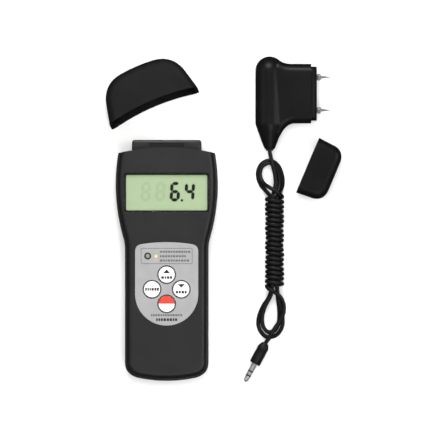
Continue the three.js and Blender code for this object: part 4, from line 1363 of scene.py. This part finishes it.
def makeKeys(s):
    for node, c in keyCentres.items():
        low, high = boxMm(node)
        r, e = s["radius"], s["edge"]
        ink = marks["ink"]
        face = high.z - ink
        profile = [(6.6, low.z), (6.7, low.z + 0.1), (6.7, low.z + 0.9), (6.6, low.z + 1), (r, low.z + 1)]
        turns = [math.pi / 2 * k / 5 for k in range(6)]
        profile += [(r - e + e * math.cos(t), face - e + e * math.sin(t)) for t in turns]
        profile += [(r - e - 0.4, face), (0.3, face)]
        name = "key" + node[4:].capitalize()
        key = turned(name, profile, "Z", (c.x, c.y, 0), 72)
        dress(smoothed(key), keyWhite, node, "key", node)
        z = face - marks["sink"]
        if node == "key_power":
            # the print runs over the key's rounded edge
            skin = e + ink - marks["sink"]
            edge = [(r - e + skin * math.cos(t), face - e + skin * math.sin(t)) for t in turns[1:]]
            half = turned("powerMark", edge + [(0.3, edge[-1][1])], "Z", (c.x, c.y, 0), 72)
            carve(half, [cutBox((c.x - 9, c.y - 9, 0), (c.x + 9, c.y + 0.1, depth + 9))])
            dress(smoothed(half), keyRed, node, "key")
            continue
        if node == "key_select":
            words = inkBlocks(c.x - 4.7, c.y, 9.4, 2.0, 6, 41)
            flatMarks("selectMark", words, z, ink, darkInk, node, "key")
            continue
        up = 1 if node == "key_up" else -1
        y = c.y + 2.3
        arrow = [(c.x - 2.5, y - 1.3 * up), (c.x + 2.5, y - 1.3 * up), (c.x, y + 1.3 * up)]
        line = [(c.x - 3.7, c.y), (c.x + 3.7, c.y), (c.x + 3.7, c.y + 0.26), (c.x - 3.7, c.y + 0.26)]
        words = inkBlocks(c.x - 3.75, c.y - 1.95, 7.5, 1.8, 4, 51 + up)
        flatMarks(name + "Mark", [arrow, line, *words], z, ink, darkInk, node, "key")


def makeLamp():
    low, high = boxMm("status_lamp")
    r = (high.x - low.x) / 2
    turns = [math.pi / 2 * k / 6 for k in range(7)]
    profile = [(r, low.z)] + [(r * math.cos(t), high.z - 0.55 + 0.55 * math.sin(t)) for t in turns]
    lamp = turned("statusLamp", profile, "Z", (lampCentre.x, lampCentre.y, 0), 40)
    dress(smoothed(lamp), lampLens, "meter", "lamp", "status_lamp")


makeLabel(label)
makeKeys(keySize)
makeLamp()
print("keypad ready")


# ---- inside the case: what shows once the battery door is off, and the plain rest
def makeCells():
    for k in (1, 2, 3, 4):
        low, high = boxMm(f"cell_{k}")
        c = (low + high) / 2
        r, length = (high.x - low.x) / 2, high.y - low.y
        e = 0.5
        profile = [
            (0.4, 0),
            (r - e, 0),
            (r - 0.15, 0.15),
            (r, e),
            (r, length - 1.6),
            (r - 0.15, length - 1.2),
        ]
        profile += [
            (r - e, length - 1.05),
            (2.4, length - 1.0),
            (1.9, length - 0.9),
            (1.9, length - 0.12),
            (1.7, length),
        ]
        piece = turned(f"cell{k}", profile, "Y", (0, 0, 0), 56)
        if k % 2 == 0:  # every other cell lies the other way round
            piece.data.transform(Matrix.Rotation(math.pi, 4, "Z"))
            piece.data.transform(Matrix.Translation(Vector((c.x, high.y, c.z)) * mm))
        else:
            piece.data.transform(Matrix.Translation(Vector((c.x, low.y, c.z)) * mm))
        dress(smoothed(piece), sleeve, "meter", "cell", f"cell_{k}")


def paintInside():
    looks = {
        "lcd_tray": softRubber, "zebra_strip": softRubber, "key_mat": softRubber, "main_board": boardGreen,
        "board_chip": chipEpoxy, "contact_strip_top": plugNickel, "contact_strip_foot": plugNickel,
        "cord_bush": softRubber, "pin_socket_upper": needleSteel, "pin_socket_lower": needleSteel,
        "probe_screw_1": needleSteel, "probe_screw_2": needleSteel,
    }
    looks.update({f"cell_spring_{k}": needleSteel for k in (1, 2, 3, 4)})
    for node, material in looks.items():
        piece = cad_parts[node]
        for place in piece.material_slots:
            place.material = material


makeCells()
paintInside()
print("inside ready")


# ---- the cover of the head
cover = {
    "place": (-8.4, 104.2),
    "turn": 23.2,
    "depth": 31.3,
    "taper": 0.442,
    "wall": 2,
    "round": 5,
    "half": 32.75,
    "ribDepth": 12,
    "ribHalf": 0.7,
    "ribsAt": (-18, -8, 8, 18),
    "ribFoot": 9.0,
}


def coverOutline(s, low=-12.0):
    half, deep = s["half"], s["depth"]
    points = [(half, low), (half, 0)]
    points += bezierPoints([(half, 0), (half - 1.9, deep * 0.28), (half - 3.6, deep * 0.5)], 10)
    corner = [
        (half - 3.6, deep * 0.5),
        (half - 5.2, deep * 0.71),
        (half - 10, deep * 0.92),
        (half - 19, deep - 0.9),
    ]
    points += bezierPoints(corner, 20)
    crown = [(half - 19, deep - 0.9), (0, deep + 0.9), (-half + 19, deep - 0.9)]
    points += bezierPoints(crown, 20)[:10]
    return mirrored(points)


def layCover(piece, s, tilt):
    thickness = depth / 2
    for v in piece.data.vertices:
        along = max(0.0, v.co.y) / (s["depth"] * mm)
        v.co.z *= 1 - s["taper"] * along
    place = Matrix.Translation(Vector((*s["place"], thickness * math.cos(tilt) + 0.02)) * mm)
    turn = Matrix.Rotation(math.radians(s["turn"]), 4, "Z") @ Matrix.Rotation(-tilt, 4, "X")
    piece.data.transform(place @ turn)


def makeCover(s):
    half = depth / 2
    tilt = math.atan(s["taper"] * half / s["depth"])
    piece = slab("headCover", coverOutline(s), edgeStations(-half, half, s["round"], steps=8))
    hollow = edgeStations(-half + s["wall"], half - s["wall"], s["round"] - 1, start=s["wall"], steps=6)
    tools = [slab("tool", coverOutline(s, -20), hollow)]
    carve(piece, tools)
    ribTop, thin = s["ribDepth"], s["ribHalf"]
    ribs = []
    for side in (-1, 1):
        inside = side * (neck["half"] + 0.4)
        outside = inside + side * 1.4
        ribs.append(
            cutBox(
                (min(inside, outside), 0, -half + 1),
                (max(inside, outside), ribTop, half - 1),
            )
        )
        for x in s["ribsAt"]:
            low, high = sorted((side * s["ribFoot"], side * (half - 1)))
            ribs.append(cutBox((x - thin, 0, low), (x + thin, ribTop, high)))
    carve(piece, ribs, "UNION")
    # the open rim follows the shoulder's curve
    radius = case["shoulderRadius"]
    edgeX = s["half"]
    rimTop = radius - math.sqrt(radius**2 - edgeX**2)
    arc = [(x, rimTop - radius + math.sqrt(radius**2 - x * x)) for x in range(-44, 45, 2)]
    rim = slab("tool", [(-44, -40), (44, -40)] + arc[::-1], [(-40, 0), (40, 0)])
    carve(piece, [rim])
    layCover(piece, s, tilt)
    return dress(smoothed(piece), coverAbs, "sensor_cover", "cover", "sensor_cover")


makeCover(cover)
print("head cover ready")


# ---- the pin probe, lying on its side
probeLow, probeHigh = boxMm("probe_upper_shell")
probe = {
    "radius": 9.8,
    "top": 25.6,
    "foot": 21.25,
    "tailRadius": 3.55,
    "tail": 38.35,
    "reach": 28.4,
    "half": 20.4,
    "round": 5.5,
    "rise": 6,
    "sinkFrom": 7,  # how far from the handle's axis the faces are lowest
    "sinkTop": 0.09,
    "sinkFoot": 0.26,
    "voxel": 0.42,
    "carrierInset": 1.9,
    "pinHole": 1.9,
}
axisX = probeLow.x + probe["radius"]
middleY = probeLow.y + probe["tail"]


def atProbe(piece):
    piece.data.transform(Matrix.Translation(Vector((axisX, middleY, 0)) * mm))
    return piece


def blockOutline(s, end):
    r, half = s["radius"], s["half"]
    points = [(end, -half), (end, half)]
    points += [(r + 4.2, half)]
    points += bezierPoints([(r + 4.2, half), (r - 0.4, half + 0.2), (r - 3.8, s["top"] - 2.4)], 14)
    points += [(-2, s["top"] - 7), (-2, -s["foot"] - 6), (r - 3, -s["foot"] - 8.4)]
    points += bezierPoints([(r - 3, -s["foot"] - 8.4), (r + 1.2, -half - 0.4), (r + 6.8, -half)], 16)
    return points


def gripRoof(s):
    # keeps the block no thicker than the handle where that narrows towards its ends
    r = s["radius"]
    domeY = s["top"] - r
    rise = [(domeY + r * math.sin(t), r * math.cos(t)) for t in (math.pi / 2 * k / 16 for k in range(16))]
    half = [(-s["tail"], s["tailRadius"]), (-s["foot"], r), *rise]
    outline = [(y, r - z) for y, z in half] + [(y, r + z) for y, z in reversed(half)]
    roof = slab("tool", outline, [(-20, 0), (60, 0)])
    roof.data.transform(Matrix(((0, 0, 1, 0), (1, 0, 0, 0), (0, 1, 0, 0), (0, 0, 0, 1))))
    return roof


def narrowAt(s, y):
    # the handle's radius at this height
    r, domeY = s["radius"], s["top"] - s["radius"]
    if y > domeY:
        return math.sqrt(max(0.0, r * r - (y - domeY) ** 2))
    share = max(0.0, -s["foot"] - y) / (s["tail"] - s["foot"])
    return r + (s["tailRadius"] - r) * share


def sinkFaces(body, s):
    # lowers the block's broad faces beside the handle, so that the handle stands out as a round column
    r = s["radius"]
    for v in body.data.vertices:
        x, y, height = v.co.x / mm, v.co.y / mm, v.co.z / mm - r
        share = max(0.0, min(1.0, (s["reach"] - x) / (s["reach"] - s["sinkFrom"])))
        along = max(0.0, min(1.0, (s["half"] - y) / (2 * s["half"])))
        sunk = abs(height) * (1 - share * (s["sinkTop"] + (s["sinkFoot"] - s["sinkTop"]) * along))
        column = math.sqrt(max(0.0, narrowAt(s, y) ** 2 - x * x))
        v.co.z = (r + math.copysign(max(sunk, min(abs(height), column)), height)) * mm


def gripBody(s):
    # the turned handle and the block, fused and eased into each other as one moulding
    r = s["radius"]
    turns = [math.pi / 2 * k / 14 for k in range(15)]
    profile = [(s["tailRadius"] - 0.5, -s["tail"]), (s["tailRadius"], -s["tail"] + 0.4)]
    profile += [(r - 0.35, -s["foot"] - 0.9), (r, -s["foot"] + 0.6)]
    profile += [(r * math.cos(t), s["top"] - r + r * math.sin(t)) for t in turns]
    body = turned("gripBody", profile, "Y", (0, 0, r), 96)
    block = slab(
        "tool",
        blockOutline(s, s["reach"] + 12),
        edgeStations(0.1, 2 * r - 0.1, s["round"], s["rise"], steps=8),
    )
    carve(block, [gripRoof(s)], "INTERSECT")
    carve(body, [block], "UNION")
    remesh = body.modifiers.new("skin", "REMESH")
    remesh.mode = "VOXEL"
    remesh.voxel_size = s["voxel"] * mm
    settle(body)
    sinkFaces(body, s)
    ease = body.modifiers.new("ease", "SMOOTH")
    ease.factor = 0.5
    ease.iterations = 22
    settle(body)
    carve(body, [cutBox((s["reach"], -60, -20), (90, 60, 50))])
    return body


def makeGrip(s):
    r = s["radius"]
    for name, upper, node in (
        ("gripUpperHalf", True, "probe_upper_shell"), ("gripLowerHalf", False, "probe_lower_shell")
    ):
        piece = gripBody(s)
        piece.name = name
        away = (-60, -60, -20), (60, 60, r + 0.07)
        if not upper:
            away = (-60, -60, r - 0.07), (60, 60, 50)
        bore = [
            (2.8, -s["tail"] - 2),
            (2.8, -s["tail"] + 8),
            (r - 2.2, -s["foot"] + 2),
            (r - 2.2, s["top"] - r),
        ]
        tools = [
            cutBox(*away),
            turned("tool", bore + [(0.5, s["top"] - 3.2)], "Y", (0, 0, r), 48),
            cutBox((-2, -s["half"] + 3.4, 3.2), (80, s["half"] - 3.4, 2 * r - 3.2)),
        ]
        if not upper:
            for x, y in ((13, 0), (0, -10)):
                tools.append(
                    turned(
                        "tool",
                        [(2.5, -1), (2.3, 0.5), (2.3, 3.2), (1.3, 3.2), (1.3, 12)],
                        "Z",
                        (x, y, 0),
                        40,
                    )
                )
        carve(piece, tools)
        atProbe(piece)
        dress(smoothed(piece), probeAbs, "probe", "probe_casing", node)


def makeCarrier(s):
    endX = boxMm("pin_carrier")[1].x - axisX
    r = s["radius"]
    inset = s["carrierInset"]
    edge = [(s["reach"] - 4, -s["half"] + inset), (endX, -s["half"] + inset), (endX, s["half"] - inset)]
    edge.append((s["reach"] - 4, s["half"] - inset))
    piece = slab(
        "pinCarrier", edge, edgeStations(inset, 2 * r - inset, s["round"] - 1.5, s["rise"] - 1.5, steps=7)
    )
    tools = [cutBox((-20, -60, -20), (s["reach"] + 0.12, 60, 50))]
    face = softBox(
        "tool",
        (s["reach"] + 0.12, -s["half"] + 3.6, inset + 2),
        (endX, s["half"] - 3.6, 2 * r - inset - 2),
        0.5,
        3,
    )
    carve(piece, tools)
    carve(piece, [face], "UNION")
    holes = []
    for node in ("needle_upper", "needle_lower"):
        y = centreMm(node).y - middleY
        holes.append(turned("tool", [(s["pinHole"], 0), (s["pinHole"], 60)], "X", (0, y, r), 32))
    carve(piece, holes)
    atProbe(piece)
    dress(smoothed(piece), probeAbs, "probe", "probe_casing", "pin_carrier")


def makeNeedles():
    for name in ("upper", "lower"):
        low, high = boxMm("needle_" + name)
        c = (low + high) / 2
        r = (high.z - low.z) / 2
        nutLow, nutHigh = boxMm("needle_nut_" + name)
        end = high.x
        profile = [(r - 0.2, low.x), (r, low.x + 0.3), (r, nutHigh.x + 0.5), (r * 0.96, nutHigh.x + 0.9)]
        profile += [(r * 0.5, (nutHigh.x + end) / 2), (r * 0.12, end - 0.7), (0.02, end - 0.05)]
        needle = turned("needle" + name.capitalize(), profile, "X", (0, c.y, c.z), 40)
        dress(smoothed(needle), needleSteel, "probe", "steel", "needle_" + name)
        makeNut(name, nutLow, nutHigh, c)


def makeNut(name, low, high, c):
    # a small knurled nut: fine straight ribs round its rim
    outer = (high.z - low.z) / 2 - 0.04
    ribs = 26
    rings = []
    shape = [
        (1.15, low.x),
        (outer - 0.25, low.x),
        (outer, low.x + 0.25),
        (outer, high.x - 0.6),
        (outer - 0.55, high.x),
    ]
    shape.append((1.15, high.x))
    for radius, x in shape:
        ring = []
        for k in range(ribs * 4):
            t = 2 * math.pi * k / (ribs * 4)
            dip = 0.14 if k % 4 in (2, 3) and radius > outer - 0.1 else 0
            ring.append((x, c.y + (radius - dip) * math.cos(t), c.z + (radius - dip) * math.sin(t)))
        rings.append(ring)
    nut = loft("needleNut" + name.capitalize(), rings, ringed=True)
    dress(smoothed(nut, 25), needleSteel, "needle_nut_" + name, "steel", "needle_nut_" + name)


makeGrip(probe)
makeCarrier(probe)
makeNeedles()
print("probe ready")


# ---- the pin cap
cap = {"place": (96.65, 65.3), "turn": -22.9, "depth": 19.9, "corner": 9.5, "draft": 0.8, "wall": 1.6}


def capOutline(s, start):
    half = probe["half"]
    end, deep, corner = half - s["draft"], s["depth"], s["corner"]
    points = [(start, -half), (0, -half), (deep - corner, -end)]
    points += bezierPoints(
        [(deep - corner, -end), (deep - 3.5, -end), (deep, -end + 3.5), (deep, -end + corner)], 18
    )
    points += [(deep, end - corner)]
    points += bezierPoints(
        [(deep, end - corner), (deep, end - 3.5), (deep - 3.5, end), (deep - corner, end)], 18
    )
    return points + [(0, half), (start, half)]


def makeCap(s):
    r = probe["radius"]
    piece = slab(
        "pinCap", capOutline(s, -20), edgeStations(0, 2 * r, probe["round"], probe["rise"], steps=9)
    )
    wall = s["wall"]
    hollow = edgeStations(wall, 2 * r - wall, probe["round"] - wall / 2, probe["rise"] - wall / 2, wall, 7)
    carve(piece, [slab("tool", capOutline(s, -30), hollow), cutBox((-60, -60, -20), (0, 60, 50))])
    place = Matrix.Translation(Vector((*s["place"], 0.02)) * mm)
    piece.data.transform(place @ Matrix.Rotation(math.radians(s["turn"]), 4, "Z"))
    return dress(smoothed(piece), probeAbs, "pin_cap", "probe_casing", "pin_cap")


makeCap(cap)
print("pin cap ready")

print("all pieces ready")
